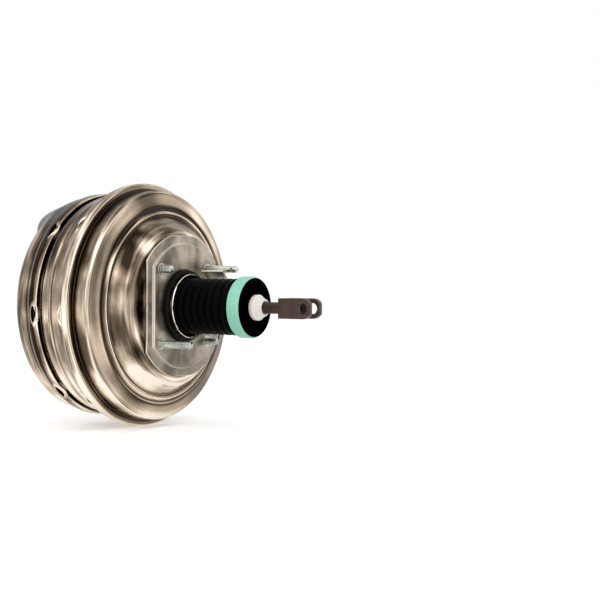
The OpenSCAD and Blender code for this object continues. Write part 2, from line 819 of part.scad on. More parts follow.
module input_rod() {
    r = rod_d / 2;
    dome = [for (k = [0 : 12]) let(a = -49 + k * 139 / 12) [ball_r * cos(a), ball_y + ball_r * sin(a)]];
    color([0.24, 0.19, 0.15])
    spin(concat([[0, base_y - 15], [r - 1, base_y - 15], [r, base_y - 14], [r, -62], [5, -60.5], [5, -54],
        [10.4, -54], [10.4, -52.6], [5, -52.6], [5, -4], [3.9, -2.5]], [[3.9, ball_y - 4.53]], dome));
}

module rod_return_spring() {
    color([0.62, 0.63, 0.64])
    coil(8.4, 13.4, -52.3, -26.8, 1.6, 4);
}

module rod_bush() {
    r = rod_d / 2 + 0.05;
    y = -boot_end;
    color([0.90, 0.87, 0.80])
    spin([[r, y + 8.4], [7.6, y + 8.4], [7.6, y - 0.2], [bush_r - 0.8, y - 0.2], [bush_r, y - 1],
        [bush_r, y - 5.2], [bush_r - 1.4, y - 5.4], [bush_r - 1.4, y - 6], [8.2, y - 12.6],
        [r + 0.9, y - 12.6], [r, y - 11.8]]);
}

module clevis() {
    nose = clevis_y - 8.6;
    color([0.26, 0.20, 0.16])
    difference() {
        intersection() {
            translate([-clevis_w / 2, nose, -clevis_h / 2])
            cube([clevis_w, base_y - nose, clevis_h]);
            union() {
                translate([-clevis_w / 2, clevis_y, -clevis_h / 2])
                cube([clevis_w, base_y - clevis_y, clevis_h]);
                translate([-clevis_w, clevis_y, 0])
                rotate([0, 90, 0])
                cylinder(r = clevis_h / 2, h = 2 * clevis_w);
            }
        }
        translate([-clevis_gap / 2, nose - 2, -clevis_h])
        cube([clevis_gap, base_y - 7 - nose + 2, 2 * clevis_h]);
        translate([-clevis_w, clevis_y, 0])
        rotate([0, 90, 0])
        cylinder(r = pin_d / 2, h = 2 * clevis_w);
        bar(0, base_y - 20, 0, rod_d / 2 + 0.05, 30);
    }
}

module boot() {
    y1 = -9.8;
    y2 = -boot_end + ring_w + 1;
    pitch = (y1 - y2) / folds;
    fold_line = [for (i = [0 : folds - 1]) each [
        [boot_d / 2, y1 - (i + 0.5) * pitch, 1.6],
        [boot_root_d / 2, y1 - (i + 1) * pitch, 1.3]]];
    path = concat([[neck_in - gap, -2.2, 0], [neck_in - gap, -8, 1.6], [boot_root_d / 2, y1, 1.3]],
        fold_line, [[cup_r, y2 - 1.4, 1.8], [cup_r, -boot_end, 0]]);
    color([0.05, 0.05, 0.05])
    sheet(path, -boot_t);
}

module boot_ring() {
    y = -boot_end;
    color([0.45, 0.76, 0.61])
    spin([[cup_r + gap, y], [ring_r - 1.2, y], [ring_r, y + 2.4], [ring_r, y + ring_w - 1],
        [ring_r - 0.7, y + ring_w], [cup_r + gap, y + ring_w]]);
}

module end_disc() {
    r = cup_r - boot_t - gap;
    y = -boot_end;
    color([0.06, 0.06, 0.06])
    spin([[7.6 + gap, y], [r - 0.6, y], [r, y + 0.6], [r, y + 8], [7.6 + gap, y + 8]]);
}

rear_shell();
centre_shell();
front_shell();
divider_plate();
mounting_plate();
front_reinforcement();
tie_rods();
rear_studs();
stud_collars();
hub_gasket();
rear_hub_seal();
centre_seal();
divider_bushes();
master_seal_ring();
rear_diaphragm();
front_diaphragm();
rear_support_plate();
front_support_plate();
valve_body();
plate_bushes();
spring_seat();
return_spring();
reaction_disc();
output_rod();
adjusting_screw();
stop_key();
poppet_retainer();
air_filter();
poppet_valve();
poppet_spring();
plunger();
input_rod();
rod_return_spring();
rod_bush();
clevis();
boot();
boot_ring();
end_disc();
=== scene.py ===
"""Looks of a tandem vacuum brake booster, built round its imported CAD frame.

Blender works in metres. The sizes in the classes are millimetres, as on the drawing, in the frame
of the part: the axis of the booster is Y, the pedal side is -Y and Z points up.
"""

from __future__ import annotations

import logging
import math
from collections.abc import Callable, Sequence
from dataclasses import dataclass
from enum import Enum
from typing import Any

import bmesh
import bpy
from mathutils import Matrix, Vector

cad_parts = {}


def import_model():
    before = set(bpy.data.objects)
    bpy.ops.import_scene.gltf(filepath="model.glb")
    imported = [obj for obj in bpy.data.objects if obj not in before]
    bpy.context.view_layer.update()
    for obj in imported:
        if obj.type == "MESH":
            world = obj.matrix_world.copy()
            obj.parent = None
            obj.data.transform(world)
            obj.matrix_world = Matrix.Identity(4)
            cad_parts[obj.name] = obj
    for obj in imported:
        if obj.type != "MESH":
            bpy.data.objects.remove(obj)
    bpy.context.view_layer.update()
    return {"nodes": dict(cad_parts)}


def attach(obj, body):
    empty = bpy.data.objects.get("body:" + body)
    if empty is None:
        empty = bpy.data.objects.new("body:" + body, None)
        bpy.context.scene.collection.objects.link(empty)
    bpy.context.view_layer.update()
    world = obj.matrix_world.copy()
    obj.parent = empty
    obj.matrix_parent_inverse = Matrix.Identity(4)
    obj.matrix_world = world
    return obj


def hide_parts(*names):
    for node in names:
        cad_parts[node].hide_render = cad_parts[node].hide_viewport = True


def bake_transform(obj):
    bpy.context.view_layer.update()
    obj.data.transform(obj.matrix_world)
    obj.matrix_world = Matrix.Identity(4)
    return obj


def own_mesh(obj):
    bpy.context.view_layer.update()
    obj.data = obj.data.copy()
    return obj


LOG = logging.getLogger("booster")
MM = 0.001  # metres in a millimetre
STUD_X, STUD_Z = 39.0, 38.0  # places of the four studs, from the axis
FRONT_FACE = 152.0  # face of the raised pad, along Y
STROKE = 32.0  # travel of the power piston
Point = tuple[float, float]
Corner = tuple[float, float, float]
Place = tuple[float, float, float]
Colour = tuple[float, float, float]
Socket = bpy.types.NodeSocket
NodeTree = bpy.types.NodeTree
Mesh = bpy.types.Mesh
Nodes = dict[str, bpy.types.Object]
FaceTest = Callable[[Vector, Vector], float]


class Body(Enum):
    """The bodies of the part that pieces ride on."""

    HOUSING = "housing"
    PISTON = "power_piston"
    ROD = "input_rod"


class Pattern(Enum):
    """What a finish shows besides its colours."""

    TURNED = "turned"
    ROLLED = "rolled"
    MOULDED = "moulded"
    FOAM = "foam"


# Node helpers


class Graph:
    """Short calls that make and link the nodes of one tree."""

    def __init__(self, tree: NodeTree) -> None:
        """Start on a tree.

        Args:
            tree: the shader or geometry tree to fill.
        """
        self.tree = tree

    def node(self, kind: str, ins: dict[Any, Any] | None = None, **props: Any) -> bpy.types.Node:
        """Make one node.

        Args:
            kind: the node's type name.
            ins: input name or number to a value or to a socket to link from.
            props: the node's own settings.

        Returns:
            The new node.
        """
        made = self.tree.nodes.new(kind)
        for name, value in props.items():
            setattr(made, name, value)
        for key, value in (ins or {}).items():
            if isinstance(value, Socket):
                self.link(value, made.inputs[key])
            else:
                made.inputs[key].default_value = value
        return made

    def link(self, value: Socket, socket: Socket) -> None:
        """Carry a value to a node's input."""
        self.tree.links.new(value, socket)

    def math(self, operation: str, a: Any, b: Any = 0.0) -> Socket:
        """One step of arithmetic.

        Args:
            operation: the Math node's operation.
            a: first value or socket.
            b: second value or socket.

        Returns:
            The result's socket.
        """
        return self.node("ShaderNodeMath", {0: a, 1: b}, operation=operation).outputs[0]

    def add(self, a: Any, b: Any) -> Socket:
        """The sum of two values."""
        return self.math("ADD", a, b)

    def less(self, a: Any, b: Any) -> Socket:
        """The first value less the second."""
        return self.math("SUBTRACT", a, b)

    def times(self, a: Any, b: Any) -> Socket:
        """The product of two values."""
        return self.math("MULTIPLY", a, b)

    def vector(self, operation: str, a: Any, b: Any) -> Socket:
        """One step of vector arithmetic.

        Args:
            operation: the Vector Math node's operation.
            a: first vector or socket.
            b: second vector or socket.

        Returns:
            The result's socket, which is a number for DISTANCE.
        """
        made = self.node("ShaderNodeVectorMath", {0: a, 1: b}, operation=operation)
        return made.outputs["Value" if operation == "DISTANCE" else "Vector"]

    def combine(self, x: Any = 0.0, y: Any = 0.0, z: Any = 0.0) -> Socket:
        """A vector from three values."""
        return self.node("ShaderNodeCombineXYZ", {0: x, 1: y, 2: z}).outputs[0]

    def split(self, vector: Socket) -> tuple[Socket, ...]:
        """The three values of a vector."""
        return tuple(self.node("ShaderNodeSeparateXYZ", {0: vector}).outputs)

    def turned(self, radius: Any, angle: Any, y: Any) -> Socket:
        """A place round Y, from its radius, its angle and its place along Y."""
        x, z = (self.times(radius, self.math(wave, angle)) for wave in ("COSINE", "SINE"))
        return self.combine(x, y, z)

    def remap(
        self, value: Any, low: Any, high: Any, to_low: Any = 0.0, to_high: Any = 1.0, smooth: bool = False
    ) -> Socket:
        """A clamped change of range.

        Args:
            value: the socket to read.
            low: value that gives to_low.
            high: value that gives to_high.
            to_low: result at the low end.
            to_high: result at the high end.
            smooth: ease in and out instead of a straight line.

        Returns:
            The result's socket.
        """
        made = self.node(
            "ShaderNodeMapRange",
            {0: value, 1: low, 2: high, 3: to_low, 4: to_high},
            interpolation_type="SMOOTHSTEP" if smooth else "LINEAR",
        )
        return made.outputs[0]

    def noise(self, vector: Any, scale: Any, detail: float) -> Socket:
        """Noise from 0 to 1.

        Args:
            vector: where it is read.
            scale: its scale.
            detail: number of octaves.

        Returns:
            The value's socket.
        """
        ins = {"Vector": vector, "Scale": scale, "Detail": detail}
        return self.node("ShaderNodeTexNoise", ins).outputs[0]

    def blend(self, share: Any, a: Any, b: Any) -> Socket:
        """A mix of two colours.

        Args:
            share: 0 for a, 1 for b.
            a: first colour or socket.
            b: second colour or socket.

        Returns:
            The colour's socket.
        """
        ins = {0: share}
        for key, value in ((6, a), (7, b)):
            ins[key] = value if isinstance(value, Socket) else (*value, 1.0)
        return self.node("ShaderNodeMix", ins, data_type="RGBA").outputs[2]

    def ramp(self, value: Any, stops: Sequence[tuple[float, Colour]]) -> Socket:
        """A colour ramp.

        Args:
            value: the socket that picks the colour.
            stops: places and colours, from low to high.

        Returns:
            The colour's socket.
        """
        made = self.node("ShaderNodeValToRGB", {0: value})
        elements = made.color_ramp.elements
        while len(elements) < len(stops):
            elements.new(0.5)
        for element, (place, colour) in zip(elements, stops):
            element.position = place
            element.color = (*colour, 1.0)
        return made.outputs[0]

    def wire(self, curve: Socket, radius: Any, sides: int) -> Socket:
        """A round wire along a curve, closed at its ends.

        Args:
            curve: the curve.
            radius: the wire's radius.
            sides: number of points round it.

        Returns:
            The mesh's socket.
        """
        section = self.node("GeometryNodeCurvePrimitiveCircle", {"Resolution": sides, "Radius": radius})
        ins = {"Curve": curve, "Profile Curve": section.outputs[0], "Fill Caps": True}
        return self.node("GeometryNodeCurveToMesh", ins).outputs[0]


def new_group(
    name: str, kind: str, values: dict[str, float], results: Sequence[str] = ()
) -> tuple[Graph, Any, Any]:
    """Make an empty node group with float sockets.

    Args:
        name: the group's name.
        kind: ShaderNodeTree or GeometryNodeTree.
        values: input names and their defaults.
        results: output names.

    Returns:
        The graph, the sockets that give its inputs and those that take its outputs.
    """
    tree = bpy.data.node_groups.new(name, kind)
    if kind == "GeometryNodeTree":
        for side in ("INPUT", "OUTPUT"):
            tree.interface.new_socket("Geometry", in_out=side, socket_type="NodeSocketGeometry")
    for label, value in values.items():
        socket = tree.interface.new_socket(label, in_out="INPUT", socket_type="NodeSocketFloat")
        socket.default_value = value
    for label in results:
        tree.interface.new_socket(label, in_out="OUTPUT", socket_type="NodeSocketFloat")
    g = Graph(tree)
    return g, g.node("NodeGroupInput").outputs, g.node("NodeGroupOutput").inputs


def fresh_nodes(owner: bpy.types.Material | bpy.types.World) -> Graph:
    """Empty the node tree of a material or world and start on it.

    Args:
        owner: the material or world.

    Returns:
        The graph of its tree.
    """
    owner.use_nodes = True
    owner.node_tree.nodes.clear()
    return Graph(owner.node_tree)


# Finishes

# the marks on a shell hold painted sheen as well as stains and lines
MARKS_AND_SHEEN_ON_SHELL = 0.3  # how much of the stains and lines darkens a shell
LINE_TONE, LINE_HEIGHT = 0.12, 1.5  # the turned lines' share of the tone and of the relief
CELL_TONE, CELL_HEIGHT = 0.6, 2.0  # the same for the foam's cells
CELLS_PER_GRAIN = 0.4  # scale of the cells against the scale of the grain


def painted_axial_sheen() -> NodeTree:
    """Painted sheen as bright and dark lobes round the booster's axis, and turned lines.

    Returns:
        The shader group, with Fan and Line from 0 to 1.
    """
    found = bpy.data.node_groups.get("painted_axial_sheen")
    if found:
        return found
    g, ins, outs = new_group("painted_axial_sheen", "ShaderNodeTree", {"Lobes": 2.0, "Rings": 900.0}, ["Fan", "Line"])
    x, y, z = g.split(g.node("ShaderNodeTexCoord").outputs["Object"])
    radius = g.math("SQRT", g.add(g.math("POWER", x, 2.0), g.math("POWER", z, 2.0)))
    safe = g.math("MAXIMUM", radius, 0.004)
    side, rise = (g.times(g.math("DIVIDE", way, safe), ins["Lobes"]) for way in (x, z))
    depth = g.add(g.times(y, 9.0), g.times(radius, 14.0))
    fan = g.noise(g.combine(side, rise, depth), 1.0, 2.0)
    along = g.times(g.add(radius, y), ins["Rings"])
    g.link(g.remap(fan, 0.34, 0.66, smooth=True), outs["Fan"])
    g.link(g.noise(g.combine(side, rise, along), 1.0, 4.0), outs["Line"])
    return g.tree


def surface_marks() -> NodeTree:
    """Stains, handling marks and fine grain that every finish shares.

    Returns:
        The shader group, with Stain, Rub and Grain from 0 to 1.
    """
    found = bpy.data.node_groups.get("surface_marks")
    if found:
        return found
    g, ins, outs = new_group(
        "surface_marks",
        "ShaderNodeTree",
        {"Stain Scale": 30.0, "Rub Scale": 140.0, "Grain Scale": 2500.0},
        ["Stain", "Rub", "Grain"],
    )
    place = g.node("ShaderNodeTexCoord").outputs["Object"]
    stain = g.noise(place, ins["Stain Scale"], 5.0)
    rub = g.noise(place, ins["Rub Scale"], 3.0)
    g.link(g.remap(stain, 0.35, 0.7, smooth=True), outs["Stain"])
    g.link(g.remap(rub, 0.45, 0.75), outs["Rub"])
    g.link(g.noise(place, ins["Grain Scale"], 2.0), outs["Grain"])
    return g.tree


@dataclass(frozen=True)
class ReflectionPatch:
    """A soft painted highlight or dark painted reflection on the shells, in millimetres."""

    place: Place
    reach: float
    gain: float


# Painted highlights and dark painted reflections on the shells, the rear shell first, then the front.
REFLECTION_PATCHES = (
    ReflectionPatch((-62, 14, 50), 36, -0.34),
    ReflectionPatch((-53, 12, 61), 17, 0.95),
    ReflectionPatch((-84, 17, 7), 17, 0.34),
    ReflectionPatch((-63, 8, 22), 13, -0.35),
    ReflectionPatch((-63, 8, -6), 13, -0.32),
    ReflectionPatch((-37, 16, -75), 24, 0.34),
    ReflectionPatch((-80, 32, -88), 24, 0.28),
    ReflectionPatch((56, 9, 48), 16, 0.2),
    ReflectionPatch((-75, 18, 41), 17, -0.4),
    ReflectionPatch((-64, 10, -43), 19, -0.45),
    ReflectionPatch((-24, 27, 109), 38, -0.36),
    ReflectionPatch((24, 26, 101), 38, -0.34),
    ReflectionPatch((-95, 104, 62), 36, -0.26),
    ReflectionPatch((-52, 142, 86), 46, -0.8),
    ReflectionPatch((-90, 130, 12), 50, -0.44),
    ReflectionPatch((-66, 142, -40), 26, -0.3),
    ReflectionPatch((32, 139, 86), 34, 0.66),
    ReflectionPatch((64, 138, -56), 34, 0.3),
    ReflectionPatch((-6, 139, -92), 30, 0.26),
    ReflectionPatch((-20, 137, 100), 15, -0.5),
    ReflectionPatch((12, 145, 66), 15, -0.34),
    ReflectionPatch((60, 143, 42), 24, 0.2),
)


def painted_reflections() -> NodeTree:
    """Painted reflections on drawn, bright-plated sheet: patches and streaks that follow its bends.

    Returns:
        The shader group, with Tone from 0 for dark to 1 for bright.
    """
    found = bpy.data.node_groups.get("painted_reflections")
    if found:
        return found
    g, ins, outs = new_group("painted_reflections", "ShaderNodeTree", {
        "Level": 0.56, "Fall": 0.28, "Face": 0.14, "Broad": 0.46, "Streak": 0.36,
    }, ["Tone"])
    coords = g.node("ShaderNodeTexCoord").outputs
    place, normal = coords["Object"], coords["Normal"]
    x, y, z = g.split(place)
    _, lean_y, lean_z = g.split(normal)
    across = g.add(g.vector("DISTANCE", g.combine(x, 0.0, z), (0.0, 0.0, 0.0)), y)
    # painted reflection: darker where the sheet faces up and where it faces along +Y
    tone = g.less(ins["Level"], g.times(lean_z, ins["Fall"]))
    tone = g.less(tone, g.times(lean_y, ins["Face"]))
    # painted reflections: broad patches and fine streaks read from the normals
    wide = g.vector("ADD", g.vector("MULTIPLY", normal, (1.7,) * 3), g.vector("MULTIPLY", place, (4.0,) * 3))
    band = g.combine(0.0, g.times(across, 60.0))
    fine = g.vector("ADD", g.vector("MULTIPLY", normal, (2.4, 7.0, 2.4)), band)
    for where, gain, detail in ((wide, "Broad", 1.5), (fine, "Streak", 3.0)):
        off = g.remap(g.noise(where, 1.0, detail), 0.36, 0.64, -0.5, 0.5, smooth=True)
        tone = g.add(tone, g.times(off, ins[gain]))
    # painted highlights and dark painted reflections at listed places
    for patch in REFLECTION_PATCHES:
        away = g.vector("DISTANCE", place, tuple(c * MM for c in patch.place))
        tone = g.add(tone, g.remap(away, 0.0, patch.reach * MM, patch.gain, 0.0, smooth=True))
    g.link(tone, outs["Tone"])
    return g.tree


@dataclass(frozen=True)
class Finish:
    """One surface finish and how its material is made.

    rough holds the lowest and highest roughness, middles the colours between the painted dark and
    bright reflections on the shells, and the last field the colour of the painted highlight on a
    plate's edges.
    """

    name: str
    slot: str
    light: Colour
    dark: Colour
    pattern: Pattern
    metal: float = 0.0
    rough: tuple[float, float] = (0.4, 0.6)
    sheen_fans: float = 0.0
    stains: float = 0.3
    grain: float = 2500.0
    relief: float = 0.1
    depth: float = 0.0001
    specular: float = 0.5
    middles: tuple[tuple[float, Colour], ...] = ()
    edge_highlight: Colour | None = None

    def painted_edge_highlight(self, g: Graph, colour: Socket) -> Socket:
        """Paint a highlight on the edges of a plate that faces along Y.

        Args:
            g: the material's graph.
            colour: the plain colour.

        Returns:
            The colour's socket.
        """
        edge, face, most = 0.55, 0.985, 0.85
        facing_y = g.math("ABSOLUTE", g.split(g.node("ShaderNodeTexCoord").outputs["Normal"])[1])
        return g.blend(g.remap(facing_y, edge, face, most, 0.0), colour, self.edge_highlight)

    def shell_tone(self, g: Graph, marks: Socket) -> Socket:
        """Painted reflections of the shells, with painted shade in their grooves.

        Args:
            g: the material's graph.
            marks: stains, fine lines and painted sheen, which darken it.

        Returns:
            The socket, 0 for dark and 1 for bright.
        """
        # painted reflections of the shells
        pressed = g.node("ShaderNodeGroup", node_tree=painted_reflections())
        # painted shade in the grooves, less painted highlights on edges
        painted_shading = g.node("ShaderNodeAttribute", attribute_name="painted_shading").outputs["Fac"]
        reflections_less_marks = g.less(pressed.outputs[0], g.times(marks, MARKS_AND_SHEEN_ON_SHELL))
        return g.less(reflections_less_marks, painted_shading)

    def material(self) -> bpy.types.Material:
        """The Blender material, made once.

        Returns:
            The material.
        """
        found = bpy.data.materials.get(self.name)
        if found:
            return found
        made = bpy.data.materials.new(self.name)
        g = fresh_nodes(made)
        marks = g.node("ShaderNodeGroup", {"Grain Scale": self.grain}, node_tree=surface_marks()).outputs
        tone = g.times(marks["Stain"], self.stains)
        height = marks["Grain"]
        if self.pattern in (Pattern.TURNED, Pattern.ROLLED):
            lobes = 1.5 if self.pattern is Pattern.TURNED else 3.0
            # painted sheen: bright and dark lobes round the axis, with the turned lines
            sheen_fans = g.node("ShaderNodeGroup", {"Lobes": lobes}, node_tree=painted_axial_sheen()).outputs
            tone = g.add(tone, g.times(sheen_fans["Fan"], self.sheen_fans))
            tone = g.add(tone, g.times(sheen_fans["Line"], LINE_TONE))
            height = g.add(height, g.times(sheen_fans["Line"], LINE_HEIGHT))
        if self.pattern is Pattern.FOAM:
            place = g.node("ShaderNodeTexCoord").outputs["Object"]
            cells = g.node("ShaderNodeTexVoronoi", {"Vector": place, "Scale": self.grain * CELLS_PER_GRAIN})
            height = g.add(height, g.times(cells.outputs["Distance"], CELL_HEIGHT))
            tone = g.add(tone, g.times(cells.outputs["Distance"], CELL_TONE))
        if self.pattern is Pattern.TURNED:
            stops = ((0.0, self.dark), *self.middles, (1.0, self.light))
            # the shells' colour follows their painted reflections, sheen, shade and highlights
            colour = g.ramp(self.shell_tone(g, tone), stops)
        else:
            # other finishes mix their two colours by stains, cells or lines, and by painted sheen where set
            colour = g.blend(g.remap(tone, 0.0, 1.0), self.light, self.dark)
        # painted highlight on the edges of a plate
        if self.edge_highlight:
            colour = self.painted_edge_highlight(g, colour)
        bump = g.node("ShaderNodeBump", {"Height": height, "Strength": self.relief, "Distance": self.depth})
        skin = g.node("ShaderNodeBsdfPrincipled", {
            "Base Color": colour, "Metallic": self.metal, "Specular IOR Level": self.specular,
            "Roughness": g.remap(marks["Rub"], 0.0, 1.0, *self.rough), "Normal": bump.outputs[0],
        })
        g.link(skin.outputs[0], g.node("ShaderNodeOutputMaterial").inputs[0])
        return made


class Look(Enum):
    """Every finish of the booster."""

    # the shells' colours run from dark to bright painted reflections and highlights
    SHELL = Finish(
        "polished_zinc_sheet", "bright_shell", (0.97, 0.89, 0.77), (0.022, 0.015, 0.009),
        Pattern.TURNED, 1.0, (0.2, 0.34), sheen_fans=0.3, relief=0.08, depth=0.00005,
        middles=(
            (0.26, (0.122, 0.090, 0.063)), (0.5, (0.305, 0.238, 0.175)), (0.74, (0.60, 0.482, 0.365)),
        ),
    )
    PLATE = Finish(
        "dull_zinc_plate", "plate_steel", (0.40, 0.350, 0.282), (0.115, 0.098, 0.076),
        Pattern.ROLLED, 0.9, (0.32, 0.5), sheen_fans=0.36, stains=0.8, relief=0.2,
        # colour of the painted highlight on the plate's edges
        edge_highlight=(0.92, 0.84, 0.72),
    )
    STUD = Finish(
        "clear_zinc_stud", "zinc_stud", (0.66, 0.70, 0.63), (0.13, 0.13, 0.11),
        Pattern.ROLLED, 1.0, (0.16, 0.3), sheen_fans=0.45, stains=0.6,
    )
    COLLAR = Finish(
        "zinc_collar", "plate_steel", (0.58, 0.53, 0.47), (0.26, 0.23, 0.19),
        Pattern.ROLLED, 1.0, (0.3, 0.45), sheen_fans=0.2,
    )
    BARE = Finish(
        "bare_rolled_sheet", "inner_steel", (0.56, 0.56, 0.54), (0.24, 0.24, 0.23),
        Pattern.ROLLED, 1.0, (0.3, 0.5), sheen_fans=0.25, stains=0.4,
    )
    YELLOW = Finish(
        "yellow_zinc_sheet", "yellow_zinc", (0.19, 0.155, 0.085), (0.08, 0.062, 0.03),
        Pattern.ROLLED, 1.0, (0.28, 0.45), sheen_fans=0.3, stains=0.4,
    )
    BRIGHT = Finish(
        "bright_cup_sheet", "bright_sheet", (0.76, 0.76, 0.72), (0.36, 0.35, 0.33),
        Pattern.ROLLED, 1.0, (0.22, 0.38), sheen_fans=0.2,
    )
    BOOT = Finish(
        "boot_rubber", "black_rubber", (0.0020, 0.0020, 0.0021), (0.0008, 0.0008, 0.0008),
        Pattern.MOULDED, 0.0, (0.3, 0.42), stains=0.5, relief=0.15, specular=0.02,
    )
    SEAL = Finish(
        "seal_rubber_black", "seal_rubber", (0.0060, 0.0045, 0.0038), (0.002, 0.0015, 0.0012),
        Pattern.MOULDED, 0.0, (0.28, 0.42), stains=0.4, relief=0.15, specular=0.05,
    )
    PHENOLIC = Finish(
        "phenolic_moulding", "phenolic", (0.16, 0.13, 0.10), (0.07, 0.055, 0.04),
        Pattern.MOULDED, 0.0, (0.4, 0.6), stains=0.5, relief=0.2,
    )
    FOAM = Finish(
        "open_foam", "filter_foam", (0.008, 0.008, 0.009), (0.002, 0.002, 0.002),
        Pattern.FOAM, 0.0, (0.85, 1.0), grain=1800.0, relief=0.8, depth=0.0006,
        specular=0.06,
    )
    SPRING = Finish(
        "oiled_spring_wire", "spring_steel", (0.34, 0.35, 0.37), (0.12, 0.12, 0.13),
        Pattern.ROLLED, 1.0, (0.2, 0.35), sheen_fans=0.2,
    )
    DARK = Finish(
        "phosphated_steel_brown", "phosphated_steel", (0.088, 0.054, 0.041), (0.024, 0.015, 0.012),
        Pattern.MOULDED, 0.5, (0.34, 0.5), stains=0.8, relief=0.25, grain=1800.0, specular=0.3,
    )
    PALE = Finish(
        "cream_moulding", "pale_plastic", (0.88, 0.83, 0.76), (0.68, 0.61, 0.53),
        Pattern.MOULDED, 0.0, (0.4, 0.55), stains=0.4,
    )
    GREEN = Finish(
        "mint_moulding", "green_plastic", (0.30, 0.68, 0.51), (0.20, 0.52, 0.38),
        Pattern.MOULDED, 0.0, (0.5, 0.65), stains=0.5, relief=0.15,
    )


# Mesh helpers


def fillets(corners: Sequence[Corner], step: float = 9.0) -> list[Point]:
    """Round the corners of a line.

    Args:
        corners: radius, place along Y and fillet radius of each corner.
        step: largest turn between two points of a fillet, in degrees.

    Returns:
        The line's points.
    """
    line: list[Point] = []
    for i, (r, y, fillet) in enumerate(corners):
        if i in (0, len(corners) - 1) or fillet <= 0:
            line.append((r, y))
            continue
        here = Vector((r, y))
        u = (Vector(corners[i - 1][:2]) - here).normalized()
        v = (Vector(corners[i + 1][:2]) - here).normalized()
        half = math.acos(max(-1.0, min(1.0, u.dot(v)))) / 2
        mid = here + (u + v).normalized() * fillet / math.sin(half)
        start = here + u * fillet / math.tan(half) - mid
        end = here + v * fillet / math.tan(half) - mid
        turn = math.pi - 2 * half
        count = max(2, math.ceil(math.degrees(turn) / step))
        for k in range(count + 1):
            t = k / count
            p = mid + (math.sin(turn * (1 - t)) * start + math.sin(turn * t) * end) / math.sin(turn)
            line.append((p.x, p.y))
    return line


def refined(line: Sequence[Point], step: float) -> list[Point]:
    """Split long runs of a line.

    Args:
        line: the points.
        step: longest run, in millimetres.

    Returns:
        The points with the new ones between them.
    """
    out = [line[0]]
    for a, b in zip(line, line[1:]):
        count = max(1, math.ceil(math.dist(a, b) / step))
        for k in range(1, count + 1):
            out.append((a[0] + (b[0] - a[0]) * k / count, a[1] + (b[1] - a[1]) * k / count))
    return out


def smooth_step(value: float) -> float:
    """Ease a share from 0 to 1, held at both ends."""
    t = max(0.0, min(1.0, value))
    return t * t * (3 - 2 * t)


def lathe(
    name: str,
    line: Sequence[Point],
    angles: Sequence[float],
    shape: Callable[[float, float, float], Point] | None = None,
    keep: Callable[[Point, float], bool] | None = None,
    centre: Point = (0.0, 0.0),
    closed: bool = False,
) -> Mesh:
    """Turn a line round an axis along Y.

    Args:
        name: the mesh's name.
        line: radius and place along Y of each point, in millimetres.
        angles: angles in radians all round.
        shape: moves a point, from its radius, Y and angle to a new radius and Y.
        keep: says whether a face with that middle on the line and that angle stays.
        centre: X and Z of the axis, in millimetres.
        closed: join the line's last point to its first.

    Returns:
        The mesh, its faces pointing to the left of the line seen in the plane of X and Y.
    """
    verts: list[Place] = []
    rows: list[list[int]] = []
    for r, y in line:
        if r < 1e-6:
            verts.append((centre[0] * MM, y * MM, centre[1] * MM))
            rows.append([len(verts) - 1] * len(angles))
            continue
        row = []
        for a in angles:
            rr, yy = shape(r, y, a) if shape else (r, y)
            verts.append(((centre[0] + rr * math.cos(a)) * MM, yy * MM, (centre[1] + rr * math.sin(a)) * MM))
            row.append(len(verts) - 1)
        rows.append(row)
    faces = []
    count = len(angles)
    runs = list(range(len(line) - 1)) + ([len(line) - 1] if closed else [])
    for i in runs:
        k = (i + 1) % len(line)
        mid = ((line[i][0] + line[k][0]) / 2, (line[i][1] + line[k][1]) / 2)
        for j in range(count):
            n = (j + 1) % count
            end = angles[n] + (2 * math.pi if n == 0 else 0)
            if keep and not keep(mid, (angles[j] + end) / 2):
                continue
            quad = [rows[i][j], rows[i][n], rows[k][n], rows[k][j]]
            face = list(dict.fromkeys(quad))
            if len(face) > 2:
                faces.append(face)
    mesh = bpy.data.meshes.new(name)
    mesh.from_pydata(verts, [], faces)
    mesh.validate()
    return mesh


def even_angles(count: int) -> list[float]:
    """Equal steps round a circle, in radians."""
    return [2 * math.pi * k / count for k in range(count)]


def smoothed(mesh: Mesh, angle: float = 35.0) -> Mesh:
    """Shade a mesh smooth, with sharp edges past an angle in degrees.

    Args:
        mesh: the mesh.
        angle: the angle.

    Returns:
        The same mesh.
    """
    mesh.shade_smooth()
    mesh.set_sharp_from_angle(angle=math.radians(angle))
    return mesh


def placed(name: str, data: bpy.types.ID) -> bpy.types.Object:
    """Make an object of some data and put it in the scene.

    Args:
        name: the object's name.
        data: its mesh, lamp or camera.

    Returns:
        The object.
    """
    made = bpy.data.objects.new(name, data)
    bpy.context.scene.collection.objects.link(made)
    return made


def piece(name: str, mesh: Mesh, look: Look) -> bpy.types.Object:
    """Put a mesh in the scene as a piece with one finish.

    Args:
        name: the piece's name.
        mesh: its mesh, in place.
        look: its finish.

    Returns:
        The object.
    """
    made = placed(name, mesh)
    mesh.materials.clear()
    mesh.materials.append(look.value.material())
    LOG.info("piece %s: %d faces, %s", name, len(mesh.polygons), look.value.name)
    return made


def walled(mesh: Mesh, wall: float) -> Mesh:
    """Give a sheet its thickness on the side away from its normals.

    Args:
        mesh: the sheet.
        wall: thickness in millimetres.

    Returns:
        A new mesh.
    """
    holder = placed("holder", mesh)
    solid = holder.modifiers.new("wall", "SOLIDIFY")
    solid.thickness = wall * MM
    solid.offset = -1.0
    solid.use_even_offset = True
    solid.thickness_clamp = 1.0
    return baked(holder)


def baked(holder: bpy.types.Object) -> Mesh:
    """The evaluated mesh of an object, which is then removed.

    Args:
        holder: the object with its modifiers.

    Returns:
        The plain mesh.
    """
    bpy.context.view_layer.update()
    graph = bpy.context.evaluated_depsgraph_get()
    mesh = bpy.data.meshes.new_from_object(holder.evaluated_get(graph))
    bpy.data.objects.remove(holder)
    return mesh


